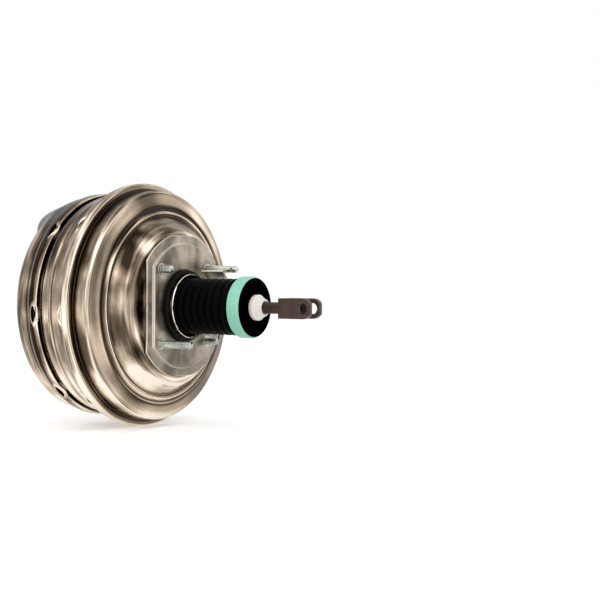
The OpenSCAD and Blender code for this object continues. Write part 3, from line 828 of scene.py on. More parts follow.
def facing(mesh: Mesh, test: FaceTest) -> Mesh:
    """Turn all faces of a sheet over where they point the wrong way.

    Args:
        mesh: the sheet, its faces all wound alike.
        test: gives a positive number for a face's middle and normal that point the right way.

    Returns:
        The same mesh.
    """
    total = sum(test(p.center, p.normal) * p.area for p in mesh.polygons)
    if total < 0:
        mesh.flip_normals()
    return mesh


def outward(middle: Vector, normal: Vector) -> float:
    """How far a normal points away from the booster's middle."""
    return normal.dot(middle - Vector((0, 0.08, 0)))


def from_axis(x: float = 0.0, z: float = 0.0) -> FaceTest:
    """Make a test of how far a normal points away from an axis along Y.

    Args:
        x: the axis's place along X, in millimetres.
        z: its place along Z.

    Returns:
        The test, for a face's middle and normal.
    """
    return lambda middle, normal: normal.dot(Vector((middle.x - x * MM, 0, middle.z - z * MM)))


def softened(node: bpy.types.Object, width: float, segments: int = 2) -> Mesh:
    """A copy of a CAD node with its sharp edges rounded.

    Args:
        node: the CAD node.
        width: width of the rounding in millimetres.
        segments: number of steps in it.

    Returns:
        The new mesh.
    """
    work = bmesh.new()
    work.from_mesh(node.data)
    bmesh.ops.remove_doubles(work, verts=work.verts, dist=2e-6)
    bmesh.ops.dissolve_limit(
        work, angle_limit=math.radians(1.0), verts=work.verts, edges=work.edges,
        use_dissolve_boundaries=False,
    )
    work.normal_update()
    corner = math.radians(32)
    sharp = [e for e in work.edges if len(e.link_faces) == 2 and e.calc_face_angle(0.0) > corner]
    bmesh.ops.bevel(
        work, geom=sharp, offset=width * MM, segments=segments, profile=0.5, affect="EDGES",
        clamp_overlap=True,
    )
    bmesh.ops.triangulate(work, faces=[f for f in work.faces if len(f.verts) > 4])
    mesh = bpy.data.meshes.new(node.name + "_soft")
    work.to_mesh(mesh)
    work.free()
    return smoothed(mesh)


def joined(meshes: Sequence[Mesh], merge: float = 0.0) -> Mesh:
    """Several meshes as one.

    Args:
        meshes: the meshes.
        merge: points closer than this become one, in millimetres.

    Returns:
        The new mesh.
    """
    work = bmesh.new()
    for mesh in meshes:
        work.from_mesh(mesh)
    if merge:
        bmesh.ops.remove_doubles(work, verts=work.verts, dist=merge * MM)
    made = bpy.data.meshes.new("joined")
    work.to_mesh(made)
    work.free()
    return made


def rounded(nodes: Nodes, name: str, width: float, look: Look, body: Body) -> None:
    """Put a copy with rounded edges in the place of a CAD node.

    Args:
        nodes: the CAD nodes.
        name: the node's name.
        width: width of the rounding in millimetres.
        look: its finish.
        body: the body it rides on.
    """
    made = piece(name + "_rounded", softened(nodes[name], width), look)
    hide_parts(name)
    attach(made, body.value)


# Geometry node trees


def finish_tree(g: Graph, outs: Any, shape: Socket, look: Look) -> NodeTree:
    """End a geometry tree: real geometry, in its finish.

    Args:
        g: the tree's graph.
        outs: the sockets that take its outputs.
        shape: the geometry made so far.
        look: the finish.

    Returns:
        The tree.
    """
    real = g.node("GeometryNodeRealizeInstances", {0: shape}).outputs[0]
    dressed = g.node("GeometryNodeSetMaterial", {"Geometry": real, "Material": look.value.material()})
    g.link(dressed.outputs[0], outs[0])
    return g.tree


def run_tree(tree: NodeTree, sizes: dict[str, float], points: Sequence[Place] = ()) -> Mesh:
    """Run a geometry tree and keep its result as a plain mesh.

    Args:
        tree: the geometry tree.
        sizes: named inputs, in metres where they are lengths.
        points: places in millimetres that the tree puts its shape at.

    Returns:
        The mesh.
    """
    base = bpy.data.meshes.new("points")
    base.from_pydata([tuple(c * MM for c in p) for p in points], [], [])
    holder = placed("holder", base)
    modifier = holder.modifiers.new("nodes", "NODES")
    modifier.node_group = tree
    for item in tree.interface.items_tree:
        if item.item_type == "SOCKET" and item.in_out == "INPUT" and item.name in sizes:
            modifier[item.identifier] = float(sizes[item.name])
    mesh = baked(holder)
    mesh.validate()
    return mesh


def thread_tree(look: Look) -> NodeTree:
    """A screw thread along +Y from each point.

    Args:
        look: the stud's finish.

    Returns:
        The geometry tree.
    """
    g, ins, outs = new_group(
        "stud_thread", "GeometryNodeTree", {"Radius": 0.004, "Pitch": 0.00125, "Length": 0.02}
    )
    ridge = g.times(ins["Pitch"], 0.2)
    centre = g.less(ins["Radius"], ridge)
    spiral = g.node("GeometryNodeCurveSpiral", {
        "Resolution": 20, "Rotations": g.math("DIVIDE", ins["Length"], ins["Pitch"]),
        "Start Radius": centre, "End Radius": centre, "Height": ins["Length"],
    })
    put = g.node("GeometryNodeInstanceOnPoints", {
        "Points": ins["Geometry"], "Instance": g.wire(spiral.outputs[0], ridge, 6),
        "Rotation": (-math.pi / 2, 0, 0),
    })
    return finish_tree(g, outs, put.outputs[0], look)


def coil_tree(look: Look) -> NodeTree:
    """A wire coil round Y with closed ends, its radius changing along it.

    Args:
        look: the wire's finish.

    Returns:
        The geometry tree.
    """
    g, ins, outs = new_group("spring_coil", "GeometryNodeTree", {
        "Start Radius": 0.02, "End Radius": 0.02, "Start": 0.0, "End": 0.05, "Wire": 0.002, "Turns": 5.0,
    })
    steps, dead, close = 28.0, 0.75, 1.06
    turns, wire = ins["Turns"], ins["Wire"]
    line = g.node("GeometryNodeMeshLine", {"Count": g.times(g.add(turns, 2 * dead), steps)})
    turn = g.math("DIVIDE", g.node("GeometryNodeInputIndex").outputs[0], steps)
    share = g.remap(turn, dead, g.add(turns, dead))
    first = g.remap(turn, 0.0, dead, -1.0, 0.0)
    last = g.remap(turn, g.add(turns, dead), g.add(turns, 2 * dead))
    span = g.less(g.less(ins["End"], ins["Start"]), g.times(wire, 1 + 2 * close))
    y = g.add(ins["Start"], g.times(wire, 0.5))
    y = g.add(y, g.times(span, share))
    y = g.add(y, g.times(g.times(wire, close), g.add(g.add(first, last), 1.0)))
    spread = g.less(ins["End Radius"], ins["Start Radius"])
    radius = g.add(ins["Start Radius"], g.times(spread, share))
    place = g.turned(radius, g.times(turn, 2 * math.pi), y)
    moved = g.node("GeometryNodeSetPosition", {"Geometry": line.outputs[0], "Position": place})
    curve = g.node("GeometryNodeMeshToCurve", {0: moved.outputs[0]})
    return finish_tree(g, outs, g.wire(curve.outputs[0], g.times(wire, 0.5), 14), look)


def boot_tree(look: Look) -> NodeTree:
    """The folded wall of the boot, open at both ends.

    Args:
        look: the boot's finish.

    Returns:
        The geometry tree.
    """
    g, ins, outs = new_group("folded_boot", "GeometryNodeTree", {
        "Start": -0.0098, "End": -0.0728, "Crest Radius": 0.0287, "Root Radius": 0.025, "Folds": 7.0,
    })
    fullness = 0.62
    grid = g.node("GeometryNodeMeshGrid", {
        "Size X": 1.0, "Size Y": 1.0, "Vertices X": 197, "Vertices Y": 145,
    })
    along, around, _ = g.split(g.node("GeometryNodeInputPosition").outputs[0])
    share = g.add(along, 0.5)
    angle = g.times(g.add(around, 0.5), 2 * math.pi)
    wave = g.math("SINE", g.times(g.times(share, ins["Folds"]), math.pi))
    swell = g.math("POWER", g.math("ABSOLUTE", wave), fullness)
    radius = g.add(ins["Root Radius"], g.times(swell, g.less(ins["Crest Radius"], ins["Root Radius"])))
    y = g.add(ins["Start"], g.times(share, g.less(ins["End"], ins["Start"])))
    place = g.turned(radius, angle, y)
    moved = g.node("GeometryNodeSetPosition", {"Geometry": grid.outputs[0], "Position": place})
    closed = g.node("GeometryNodeMergeByDistance", {"Geometry": moved.outputs[0], "Distance": 1e-6})
    return finish_tree(g, outs, closed.outputs[0], look)


# The booster's sub-assemblies

SOFT_EDGE = 1.35  # reaches at which a ring of shade has faded out


@dataclass(frozen=True)
class Crimp:
    """The ring of slots that hold one shell on the next.

    The slots lie at y. The sheet's edge is reach millimetres off, on the side of to_edge. half is
    half a slot's length, and cut half of its gap before the sheet is pressed apart.
    """

    radius: float
    y: float
    to_edge: int
    reach: float
    count: int = 8
    first: float = 4.0
    half: float = 9.0
    rise: float = 2.1
    push: float = 0.9
    bulge: float = 1.7
    # strength of the painted highlight round each slot
    lip: float = 0.55
    cut: float = 0.15
    near: float = 4.0

    @property
    def sector(self) -> float:
        """Angle from one slot to the next."""
        return 2 * math.pi / self.count

    def angles(self, in_slot: int = 12, between: int = 28) -> list[float]:
        """Angles all round that meet the slots' ends.

        Args:
            in_slot: steps in a slot.
            between: steps between two slots.

        Returns:
            The angles in radians.
        """
        half = self.half / self.radius
        out = []
        for k in range(self.count):
            middle = math.radians(self.first) + k * self.sector
            out += [middle - half + 2 * half * i / in_slot for i in range(in_slot)]
            out += [middle + half + (self.sector - 2 * half) * i / between for i in range(between)]
        return out

    def share(self, angle: float) -> float:
        """Place along the nearest slot.

        Args:
            angle: an angle in radians.

        Returns:
            0 at the slot's middle, 1 or more at its ends and past them.
        """
        off = (angle - math.radians(self.first)) % self.sector
        return min(off, self.sector - off) * self.radius / self.half

    def shape(self, r: float, y: float, angle: float) -> Point:
        """Press the sheet round a slot.

        Args:
            r: a point's radius.
            y: its place along Y.
            angle: its angle.

        Returns:
            The new radius and place.
        """
        s = self.share(angle)
        off = (y - self.y) * self.to_edge
        if s >= 1.0 or abs(r - self.radius) > 6.0 or not -4.5 < off < self.reach + 0.5:
            return r, y
        lens = (1 - s * s) ** 0.8
        fade = max(0.0, 1 - max(0.0, abs(off) - self.cut) / 4.0)
        y += math.copysign(self.rise * lens * fade, y - self.y)
        if off > 0:
            hump = (1 - s * s) ** 1.5
            r -= self.push * hump * smooth_step(off / 1.2)
            y += self.to_edge * self.bulge * hump
        return r, y

    def edge_highlight(self, r: float, y: float, angle: float) -> float:
        """How much painted highlight a point gets on the lip round a slot.

        Args:
            r: the point's radius.
            y: its place along Y.
            angle: its angle.

        Returns:
            0 off the lip, up to the lip's own value on it.
        """
        if abs(r - self.radius) > 5.0:
            return 0.0
        away = math.hypot(self.share(angle), (y - self.y) / (self.rise + self.cut))
        return self.lip * smooth_step(SOFT_EDGE - abs(away - 1.15) / 0.3)

    def keep(self, middle: Point, angle: float) -> bool:
        """Whether a face stays, which it doesn't in a slot."""
        across = abs(middle[0] - self.radius) < self.near and abs(middle[1] - self.y) < self.cut + 0.01
        return not (across and self.share(angle) < 0.999)

    def rows(self, line: Sequence[Point]) -> list[Point]:
        """A line with a row on each side of the slot.

        Args:
            line: the shell's line.

        Returns:
            The line with the rows put in.
        """
        out: list[Point] = []
        for a, b in zip(line, line[1:]):
            out.append(a)
            cuts = []
            for y in (self.y - self.cut, self.y + self.cut):
                if (a[1] - y) * (b[1] - y) < 0 and abs(a[0] - self.radius) < self.near:
                    t = (y - a[1]) / (b[1] - a[1])
                    cuts.append((t, (a[0] + (b[0] - a[0]) * t, y)))
            out += [p for _, p in sorted(cuts)]
        out.append(line[-1])
        return out


@dataclass(frozen=True)
class Ring:
    """A ring round the axis where a shell gets painted shade, or a painted highlight."""

    radius: float
    y: float
    reach: float
    amount: float

    def share(self, r: float, y: float) -> float:
        """How strongly it shows at a radius and a place along Y."""
        away = math.hypot(r - self.radius, y - self.y) / self.reach
        return self.amount * smooth_step(SOFT_EDGE - away)


@dataclass
class Shells:
    """The three crimped shells.

    pad and ear are the radii of the raised pad and of its two ears round the studs. Its slope is
    pad_slope wide. swell is how far the swelling round the port's boss reaches.
    """

    drum: float = 127.5
    rear: float = 119.5
    front_rim: float = 118.0
    front: float = 115.2
    neck: float = 31.7
    neck_out: float = 8.5
    floor: float = 5.7
    rim_y: float = 47.0
    front_rim_y: float = 97.0
    pad_height: float = 7.0
    pad: float = 61.0
    pad_slope: float = 5.6
    ear: float = 25.0
    bore: float = 23.8
    recess: float = 33.0
    recess_depth: float = 3.0
    boss: float = 18.8
    boss_back: float = 4.0
    swell: float = 11.0
    port: float = 14.0
    port_reach: float = 88.0
    port_angle: float = 120.5
    wall: float = 1.4

    @property
    def rear_crimp(self) -> Crimp:
        """The slots on the large rim."""
        return Crimp(self.drum - 0.6, self.rim_y + 10.2, 1, 6.0)

    @property
    def front_crimp(self) -> Crimp:
        """The slots on the front shell's rim."""
        return Crimp(self.front_rim - 0.2, self.front_rim_y + 4.6, -1, 4.4)

    @property
    def valley(self) -> float:
        """Radius of the groove behind the front rim."""
        return self.front_rim - 6.5

    @property
    def flat(self) -> float:
        """Place along Y of the front dome's flat, round the pad."""
        return FRONT_FACE - self.pad_height

    @property
    def port_place(self) -> Point:
        """X and Z of the vacuum port."""
        turn = math.radians(self.port_angle)
        return self.port_reach * math.cos(turn), self.port_reach * math.sin(turn)

    def build(self) -> None:
        """Make and place the three shells."""
        for name, mesh in (
            ("rear_shell", self.rear_mesh()),
            ("centre_shell", self.centre_mesh()),
            ("front_shell", self.front_mesh()),
        ):
            self.shade(mesh)
            made = piece(name + "_pressing", smoothed(mesh, 50.0), Look.SHELL)
            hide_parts(name)
            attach(made, Body.HOUSING.value)

    def shade(self, mesh: Mesh) -> None:
        """Note each point's painted shade in a groove, less its painted highlight on an edge or slot lip.

        Args:
            mesh: a shell's mesh.
        """
        y = self.front_rim_y
        # painted shade in the grooves and under the rims, where the sheet shadows itself
        grooves = (
            Ring(self.rear, self.rim_y - 0.4, 2.6, 0.66),
            Ring(93.2, 25.5, 1.5, 0.4),
            Ring(100.0, 26.8, 1.8, 0.42),
            Ring(103.5, 25.4, 1.4, 0.3),
            Ring(self.rear - 0.8, self.rim_y + 12.5, 3.6, 0.8),
            Ring(self.valley + 1.8, y - 17, 1.6, 0.45),
            Ring(self.valley + 2.2, y - 0.8, 1.6, 0.5),
            Ring(self.valley + 2.2, y + 4.5, 3.0, 1.0),
            Ring(self.valley + 3.9, y + 6.5, 3.4, 1.0),
            Ring(self.front, y + 14.4, 1.8, 0.45),
        )
        # painted highlights on the rims' edges, on ridges and round the neck
        edges = (
            Ring(self.front_rim - 1.4, y - 0.4, 0.8, 0.6),
            Ring(self.drum, self.rim_y + 3.4, 3.4, 0.34),
            Ring(97.0, 22.9, 1.5, 0.25),
            Ring(self.rear - 0.4, 31.0, 2.2, 0.2),
            Ring(self.neck, -self.neck_out, 3.0, 1.0),
        )
        crimps = (self.rear_crimp, self.front_crimp)
        # each point's painted shade, less its painted highlight
        painted_shading = mesh.attributes.new("painted_shading", "FLOAT", "POINT")
        for vert, depth in zip(mesh.vertices, painted_shading.data):
            r, at = math.hypot(vert.co.x, vert.co.z) / MM, vert.co.y / MM
            angle = math.atan2(vert.co.z, vert.co.x)
            edge_highlight = max(ring.share(r, at) for ring in edges) + max(c.edge_highlight(r, at, angle) for c in crimps)
            depth.value = max(ring.share(r, at) for ring in grooves) - edge_highlight

    def rear_mesh(self) -> Mesh:
        """The rear shell from its neck to the large rim.

        Returns:
            The mesh.
        """
        crimp = self.rear_crimp
        line = fillets([
            (self.neck + 1.3, -self.neck_out + 0.2, 0),
            (self.neck, -self.neck_out + 1.0, 0.5),
            (self.neck, self.floor, 2.5),
            (78, self.floor, 22),
            (93.2, 25.5, 1.2),
            (96.8, 22.8, 1.9),
            (100, 26.8, 1.2),
            (103.5, 25.4, 4),
            (self.rear, 30, 4),
            (self.rear, self.rim_y, 1.6),
            (self.drum, self.rim_y, 2.5),
            (self.drum, self.rim_y + 8.5, 8),
            (self.drum - 2.9, self.rim_y + 14.8, 0),
        ], 7.0)
        line = crimp.rows(refined(line, 3.6))
        mesh = lathe("rear", line, crimp.angles(), crimp.shape, crimp.keep)
        facing(mesh, lambda c, n: n.dot(Vector((c.x, (c.y - 0.06) * 0.5, c.z))))
        return walled(mesh, self.wall)

    def centre_mesh(self) -> Mesh:
        """The centre shell between the two rims.

        Returns:
            The mesh.
        """
        y = self.front_rim_y
        line = fillets([
            (self.drum - 2.2, self.rim_y + 10.7, 0),
            (self.rear - 1, self.rim_y + 10.7, 1.8),
            (self.rear - 2.7, y - 19.5, 1.9),
            (self.valley + 1.8, y - 17, 1.2),
            (self.valley + 3.9, y - 14.3, 2.6),
            (self.valley + 3.9, y - 6, 2.6),
            (self.valley + 2.2, y - 3.0, 1.3),
            (self.valley + 2.2, y + 7, 1.2),
            (self.front_rim - self.wall - 0.3, y + 7, 0),
        ], 10.0)
        mesh = lathe("centre", refined(line, 3.0), even_angles(256))
        return walled(facing(mesh, from_axis()), self.wall)

    def pad_gap(self, x: float, z: float) -> float:
        """Distance outside the raised pad's outline.

        Args:
            x: place along X.
            z: place along Z.

        Returns:
            Millimetres outside the outline, negative inside it.
        """
        reach = math.hypot(STUD_X, STUD_Z)
        u = abs((x * STUD_X + z * STUD_Z) / reach)
        v = abs((z * STUD_X - x * STUD_Z) / reach)
        lean = math.acos((self.pad - self.ear) / reach)
        along = u * -math.sin(lean) + v * math.cos(lean)
        if along > 0:
            return math.hypot(u, v) - self.pad
        if along < -reach * math.sin(lean):
            return math.hypot(u - reach, v) - self.ear
        return u * math.cos(lean) + v * math.sin(lean) - self.pad

    def front_shape(self, r: float, y: float, angle: float) -> Point:
        """Press the slots, the pad and the swelling round the port into the front shell.

        Args:
            r: a point's radius.
            y: its place along Y.
            angle: its angle.

        Returns:
            The new radius and place.
        """
        r, y = self.front_crimp.shape(r, y, angle)
        if y < self.front_rim_y + 16 or r < self.recess + 4:
            return r, y
        x, z = r * math.cos(angle), r * math.sin(angle)
        gap = math.dist((x, z), self.port_place) - self.boss
        if gap < self.swell:
            top = FRONT_FACE - self.boss_back - 1.2
            y += max(0.0, top - y) * smooth_step((self.swell - gap) / (self.swell + 1.5)) ** 1.3
        step = smooth_step((3.2 - self.pad_gap(x, z)) / self.pad_slope)
        return r, y + max(0.0, FRONT_FACE - max(y, self.flat - 6)) * step

    def front_keep(self, middle: Point, angle: float) -> bool:
        """Whether a face of the front shell stays, outside the slots and the port.

        Args:
            middle: radius and place along Y of its middle.
            angle: its angle.

        Returns:
            Whether it stays.
        """
        r, y = middle
        gap = math.dist((r * math.cos(angle), r * math.sin(angle)), self.port_place) - self.boss
        in_port = y > self.front_rim_y + 20 and gap < -1.8
        return not in_port and self.front_crimp.keep(middle, angle)

    def front_mesh(self) -> Mesh:
        """The front shell with its pad, bore and port.

        Returns:
            The mesh.
        """
        y, flat = self.front_rim_y, self.flat
        low = FRONT_FACE - self.recess_depth
        dome = flat - y - 14
        rim = fillets([
            (self.front_rim - 1.3, y, 0),
            (self.front_rim, y + 5.4, 6),
            (self.front_rim, y + 10.8, 2.4),
            (self.front, y + 14, 1.8),
            (self.front, y + 14 + dome * 0.51, dome * 0.45),
            (self.front - 19.2, flat - dome * 0.225, dome),
            (self.front - 39.2, flat, dome * 0.4),
            (45, flat, 0),
        ], 7.0)
        rim = refined(rim[:-1], 1.9)[:-1] + refined(rim[-2:], 1.15)
        inner = fillets([
            (44.2, FRONT_FACE, 0),
            (self.recess, FRONT_FACE, 1.8),
            (self.recess, low, 0.9),
            (self.bore, low, 2),
            (self.bore, low - 8, 0),
        ], 12.0)
        line = self.front_crimp.rows(rim) + refined(inner, 2.4)
        cap = lathe("front", line, self.front_crimp.angles(), self.front_shape, self.front_keep)
        facing(cap, lambda c, n: n.dot(Vector((c.x * 0.5, c.y - 0.09, c.z * 0.5))))
        top = FRONT_FACE - self.boss_back
        neck = fillets([
            (self.boss + 1.6, top - 13, 0),
            (self.boss, top, 3.2),
            (self.port, top, 1.8),
            (self.port, top - 6, 0),
        ], 10.0)
        boss = lathe("boss", refined(neck, 2.0), even_angles(72), centre=self.port_place)
        facing(boss, lambda c, n: n.y)
        return joined([walled(cap, self.wall), walled(boss, self.wall)])


@dataclass(frozen=True)
class StudEnd:
    """A free end of a stud from y1 to y2, with its tip at y1 where point is -1 and at y2 where it is 1."""

    x: float
    z: float
    y1: float
    y2: float
    point: int

    @property
    def waisted(self) -> bool:
        """Whether it has a plain waist, which the long ends on one side have."""
        return self.y2 - self.y1 > 30 and self.x > 0


@dataclass
class Bulkhead:
    """The mounting plate, the ring round the neck and the studs."""

    thread: float = 4.0
    pitch: float = 1.25
    lead: float = 1.6
    long_rear: float = 38.0
    short_rear: float = 13.0
    rear_root: float = 8.0
    waist: tuple[float, float] = (4.6, 9.4)
    front_out: float = 34.0
    floor: float = 7.1
    flange: float = 8.5
    shank: float = 4.75
    head: float = 7.0

    def core(self, end: StudEnd) -> Mesh:
        """The core of a stud's end, chamfered at its tip.

        Args:
            end: the stud's end.

        Returns:
            The mesh.
        """
        r, way = self.thread - 0.22, end.point
        tip, root = (end.y1, end.y2) if way < 0 else (end.y2, end.y1)
        line = [(0.0, tip), (r - 1.2, tip), (r - 0.6, tip - way * 0.5), (r - 0.1, tip - way * 1.5)]
        if end.waisted:
            near, far = (tip - way * w for w in self.waist)
            line += [(r, near), (r - 0.5, near - way * 0.6), (r - 0.5, far + way * 0.6), (r, far)]
        line += [(r, root), (0.0, root)]
        return facing(lathe("core", line, even_angles(28), centre=(end.x, end.z)), from_axis(end.x, end.z))

    def threads(self, end: StudEnd, tree: NodeTree) -> list[Mesh]:
        """The threads of a stud's end, one on each side of its waist.

        Args:
            end: the stud's end.
            tree: the geometry tree of a thread.

        Returns:
            The meshes.
        """
        near, far = self.waist if end.waisted else (self.lead, self.lead)
        out = []
        for a, b in ((self.lead, near), (far, end.y2 - end.y1 - 1.0)):
            if b - a >= self.pitch:
                start = end.y1 + a if end.point < 0 else end.y2 - b
                sizes = {"Radius": self.thread * MM, "Pitch": self.pitch * MM, "Length": (b - a) * MM}
                out.append(run_tree(tree, sizes, [(end.x, start, end.z)]))
        return out

    def studs(self) -> None:
        """Make the two tie rods, threaded at both ends, and the two rear studs."""
        tree = thread_tree(Look.STUD)
        low, high = self.floor + 0.2, self.floor + 2.2
        back, front = FRONT_FACE - 6.6, FRONT_FACE - 4.3
        rod = [
            (0.0, low), (self.flange, low), (self.flange, high), (self.shank, high),
            (self.shank, back), (self.flange, back), (self.flange, front), (0.0, front),
        ]
        head = [(0.0, low), (self.head, low), (self.head, high), (0.0, high)]
        long_rear = (-self.long_rear, self.rear_root, -1)
        short_rear = (-self.short_rear, self.rear_root, -1)
        long_front = (FRONT_FACE - 9, FRONT_FACE + self.front_out, 1)
        for name, node, z, line, steps, ends in (
            ("tie_rod", "tie_rods", STUD_Z, rod, 48, (long_rear, long_front)),
            ("rear_stud", "rear_studs", -STUD_Z, head, 40, (short_rear,)),
        ):
            centres = [(s * STUD_X, s * z) for s in (1, -1)]
            parts = []
            for end in [StudEnd(*centre, *span) for span in ends for centre in centres]:
                parts += [self.core(end), *self.threads(end, tree)]
            for centre in centres:
                body = lathe("shank", line, even_angles(steps), centre=centre)
                parts.append(facing(body, from_axis(*centre)))
            made = piece(name + "_threaded", smoothed(joined(parts), 40.0), Look.STUD)
            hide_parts(node)
            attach(made, Body.HOUSING.value)

    def build(self, nodes: Nodes) -> None:
        """Make the plate, the ring, the collars and the studs.

        Args:
            nodes: the CAD nodes.
        """
        rounded(nodes, "mounting_plate", 0.7, Look.PLATE, Body.HOUSING)
        rounded(nodes, "hub_gasket", 0.5, Look.SEAL, Body.HOUSING)
        rounded(nodes, "stud_collars", 0.3, Look.COLLAR, Body.HOUSING)
        self.studs()


@dataclass
class BootEnd:
    """The folded boot with its ring, foam disc and bush.

    The folds run from start to end along Y, between a collar that begins at top and a plain tail.
    lead is how far the rod goes ahead of the piston.
    """

    top: float = -2.2
    start: float = -8.2
    end: float = -69.4
    tail: float = 1.5
    ring_face: float = -72.8
    lead: float = 1.5
    crest: float = 28.7
    root: float = 26.0
    folds: int = 7
    neck: float = 30.0
    wall: float = 1.5
    ring: float = 31.0
    outer_end: float = -86.6

    def build(self, nodes: Nodes) -> None:
        """Make and place the boot's pieces.

        Args:
            nodes: the CAD nodes.
        """
        wall = run_tree(boot_tree(Look.BOOT), {
            "Start": self.start * MM, "End": self.end * MM, "Crest Radius": self.crest * MM,
            "Root Radius": self.root * MM, "Folds": self.folds,
        })
        corners = [(self.neck, self.top, 0), (self.neck, self.top - 3.0, 1.4), (self.root, self.start, 0)]
        collar = lathe("collar", fillets(corners), even_angles(144))
        last = self.end - self.tail
        tail = lathe("tail", [(self.root, self.end), (self.root, last)], even_angles(144))
        whole = joined([facing(mesh, from_axis()) for mesh in (collar, wall, tail)], merge=0.02)
        made = piece("boot_folds", smoothed(walled(whole, self.wall), 60.0), Look.BOOT)
        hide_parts("boot")
        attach(made, Body.HOUSING.value)
        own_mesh(made)
        self.cup()
        rounded(nodes, "boot_ring", 0.6, Look.GREEN, Body.ROD)
        rounded(nodes, "end_disc", 0.5, Look.FOAM, Body.ROD)
        rounded(nodes, "rod_bush", 0.5, Look.PALE, Body.ROD)

    def cup(self) -> None:
        """The black cup that carries the ring and closes the boot's end."""
        outer, inner, hole = self.ring - 1.7, self.ring - 3.4, self.root - 2.5
        mesh = lathe("cup", [
            (outer, self.ring_face - 0.4), (outer, self.outer_end), (inner, self.outer_end),
            (inner, self.ring_face - 1.9), (hole, self.ring_face - 1.5), (hole, self.ring_face),
            (outer - 0.8, self.ring_face),
        ], even_angles(128), closed=True)
        made = piece("boot_cup", smoothed(facing(mesh, outward)), Look.BOOT)
        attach(made, Body.ROD.value)


@dataclass
class Linkage:
    """The input rod and its fork."""

    fork_edge: float = 0.8
    rod_edge: float = 0.3

    def build(self, nodes: Nodes) -> None:
        """Round the edges of the fork and the rod.

        Args:
            nodes: the CAD nodes.
        """
        rounded(nodes, "clevis", self.fork_edge, Look.DARK, Body.ROD)
        rounded(nodes, "input_rod", self.rod_edge, Look.DARK, Body.ROD)


@dataclass(frozen=True)
class Spring:
    """A coil spring between two places along Y, which the named joint closes up by its travel.

    Here a spring with a joint only gets a mesh of its own.
    """

    node: str
    radii: tuple[float, float]
    ends: tuple[float, float]
    wire: float
    turns: float
    body: Body
    joint: str = ""
    travel: float = 0.0

    def build(self, tree: NodeTree) -> None:
        """Make and place the spring.

        Args:
            tree: the geometry tree of a coil.
        """
        (r1, r2), (y1, y2) = self.radii, self.ends
        mesh = run_tree(tree, {
            "Start Radius": r1 * MM, "End Radius": r2 * MM, "Start": y1 * MM, "End": y2 * MM,
            "Wire": self.wire * MM, "Turns": self.turns,
        })
        made = piece(self.node + "_wire", smoothed(mesh, 60.0), Look.SPRING)
        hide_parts(self.node)
        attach(made, self.body.value)
        if self.joint:
            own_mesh(made)


SPRINGS = (
    Spring("return_spring", (28.5, 40.0), (69.2, 147.8), 4.0, 6.0, Body.HOUSING, "piston_slide", STROKE),
    Spring("rod_return_spring", (8.4, 13.4), (-52.3, -26.8), 1.6, 4.0, Body.PISTON, "plunger_slide", 1.5),
    Spring("poppet_spring", (10.5, 9.4), (-24.8, -5.7), 1.2, 4.0, Body.PISTON),
)


class Internals:
    """What works inside the shells."""

    def diaphragms(self, nodes: Nodes) -> None:
        """The two rubber diaphragms, which roll between the piston and the shells; here each is a fixed
        softened copy.

        Args:
            nodes: the CAD nodes.
        """
        for node, y1, y2 in (("rear_diaphragm", 33.5, 50.0), ("front_diaphragm", 78.0, 104.0)):
            made = piece(node + "_rubber", softened(nodes[node], 0.2, 1), Look.SEAL)
            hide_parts(node)
            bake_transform(made)

    def build(self, nodes: Nodes) -> None:
        """Make the springs and diaphragms and dress the CAD nodes that stay.

        Args:
            nodes: the CAD nodes.
        """
        tree = coil_tree(Look.SPRING)
        for spring in SPRINGS:
            spring.build(tree)
        self.diaphragms(nodes)
        looks = {
            "divider_plate": Look.BARE, "front_reinforcement": Look.BARE, "rear_hub_seal": Look.SEAL,
            "centre_seal": Look.SEAL, "divider_bushes": Look.SEAL, "master_seal_ring": Look.SEAL,
            "rear_support_plate": Look.YELLOW, "front_support_plate": Look.YELLOW,
            "valve_body": Look.PHENOLIC, "plate_bushes": Look.SEAL, "spring_seat": Look.YELLOW,
            "reaction_disc": Look.SEAL, "output_rod": Look.DARK, "adjusting_screw": Look.STUD,
            "stop_key": Look.BARE, "poppet_retainer": Look.BRIGHT, "air_filter": Look.FOAM,
            "poppet_valve": Look.SEAL, "plunger": Look.BARE,
        }
        for name, look in looks.items():
            mesh = nodes[name].data
            mesh.materials.clear()
            mesh.materials.append(look.value.material())
            LOG.info("node %s: %s", name, look.value.name)


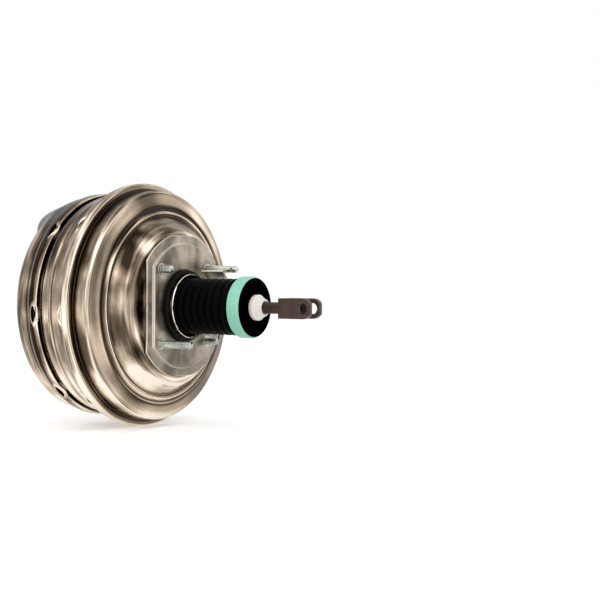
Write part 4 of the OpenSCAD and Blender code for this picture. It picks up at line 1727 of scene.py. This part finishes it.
@dataclass
class Studio:
    """Floor, lamps, surroundings and camera, in metres."""

    lens: float = 76.2
    sensor: float = 36.0
    place: Place = (-1.055053, -0.790003, 0.032860)
    right: Place = (0.52498501, -0.85108096, 0.00720674)
    up: Place = (0.01301705, 0.01649538, 0.9997792)
    aim: Place = (0, 0.04, 0)
    floor_z: float = -0.1279
    floor_half: float = 12.0
    floor_glow: float = 0.32
    surround: float = 0.78

    def camera(self) -> None:
        """Put the camera where the photograph was taken from."""
        data = bpy.data.cameras.new("camera")
        data.lens = self.lens
        data.sensor_width = self.sensor
        data.clip_start, data.clip_end = 0.05, 60.0
        made = placed("camera", data)
        right, up = Vector(self.right).normalized(), Vector(self.up)
        back = right.cross(up).normalized()
        up = back.cross(right)
        turn = Matrix((right, up, back)).transposed()
        made.matrix_world = Matrix.Translation(self.place) @ turn.to_4x4()
        bpy.context.scene.camera = made

    def world(self) -> None:
        """A white background with an even, softer light on the object."""
        world = bpy.data.worlds.new("studio")
        bpy.context.scene.world = world
        g = fresh_nodes(world)
        rays = g.node("ShaderNodeLightPath").outputs
        seen = g.math("MAXIMUM", rays["Is Glossy Ray"], rays["Is Transmission Ray"])
        seen = g.math("MAXIMUM", rays["Is Camera Ray"], seen)
        strength = g.remap(seen, 0, 1, self.surround, 1.0)
        glow = g.node("ShaderNodeBackground", {"Color": (1, 1, 1, 1), "Strength": strength})
        g.link(glow.outputs[0], g.node("ShaderNodeOutputWorld").inputs[0])

    def lamp(self, name: str, place: Place, size: float, power: float) -> None:
        """One soft area lamp that looks at the drum.

        Args:
            name: its name.
            place: where it stands, in metres.
            size: its side, in metres.
            power: its power, in watts.
        """
        data = bpy.data.lights.new(name, "AREA")
        data.shape = "SQUARE"
        data.size = size
        data.energy = power
        made = placed(name, data)
        made.location = place
        made.rotation_mode = "QUATERNION"
        made.rotation_quaternion = (Vector(self.aim) - Vector(place)).to_track_quat("-Z", "Y")

    def floor(self) -> None:
        """A plain pale floor that keeps the object's shadow."""
        half = self.floor_half
        corners = [(x * half, y * half, self.floor_z) for x, y in ((-1, -1), (1, -1), (1, 1), (-1, 1))]
        mesh = bpy.data.meshes.new("floor")
        mesh.from_pydata(corners, [], [(0, 1, 2, 3)])
        material = bpy.data.materials.new("pale_floor")
        g = fresh_nodes(material)
        rays = g.node("ShaderNodeLightPath").outputs
        seen = g.math("MAXIMUM", rays["Is Camera Ray"], rays["Is Glossy Ray"])
        paint = g.node("ShaderNodeBsdfDiffuse", {"Color": (0.92, 0.92, 0.92, 1)})
        strength = g.times(seen, self.floor_glow)
        glow = g.node("ShaderNodeEmission", {"Color": (1, 1, 1, 1), "Strength": strength})
        both = g.node("ShaderNodeAddShader", {0: paint.outputs[0], 1: glow.outputs[0]})
        g.link(both.outputs[0], g.node("ShaderNodeOutputMaterial").inputs[0])
        mesh.materials.append(material)
        placed("floor", mesh)

    def build(self) -> None:
        """Set the whole studio up."""
        self.camera()
        self.world()
        self.floor()
        self.lamp("key", (-1.5, -1.6, 1.9), 2.4, 22.0)
        self.lamp("fill", (1.8, -1.2, 1.1), 2.2, 8.0)
        self.lamp("back", (-0.4, 1.9, 1.5), 2.2, 10.0)
        bpy.context.scene.view_settings.view_transform = "Standard"


def main() -> None:
    """Build the booster's looks in order."""
    logging.basicConfig(level=logging.INFO, format="%(name)s: %(message)s")
    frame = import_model()
    nodes = frame["nodes"]
    Shells().build()
    Bulkhead().build(nodes)
    BootEnd().build(nodes)
    Linkage().build(nodes)
    Internals().build(nodes)
    Studio().build()


if __name__ == "__main__":
    main()
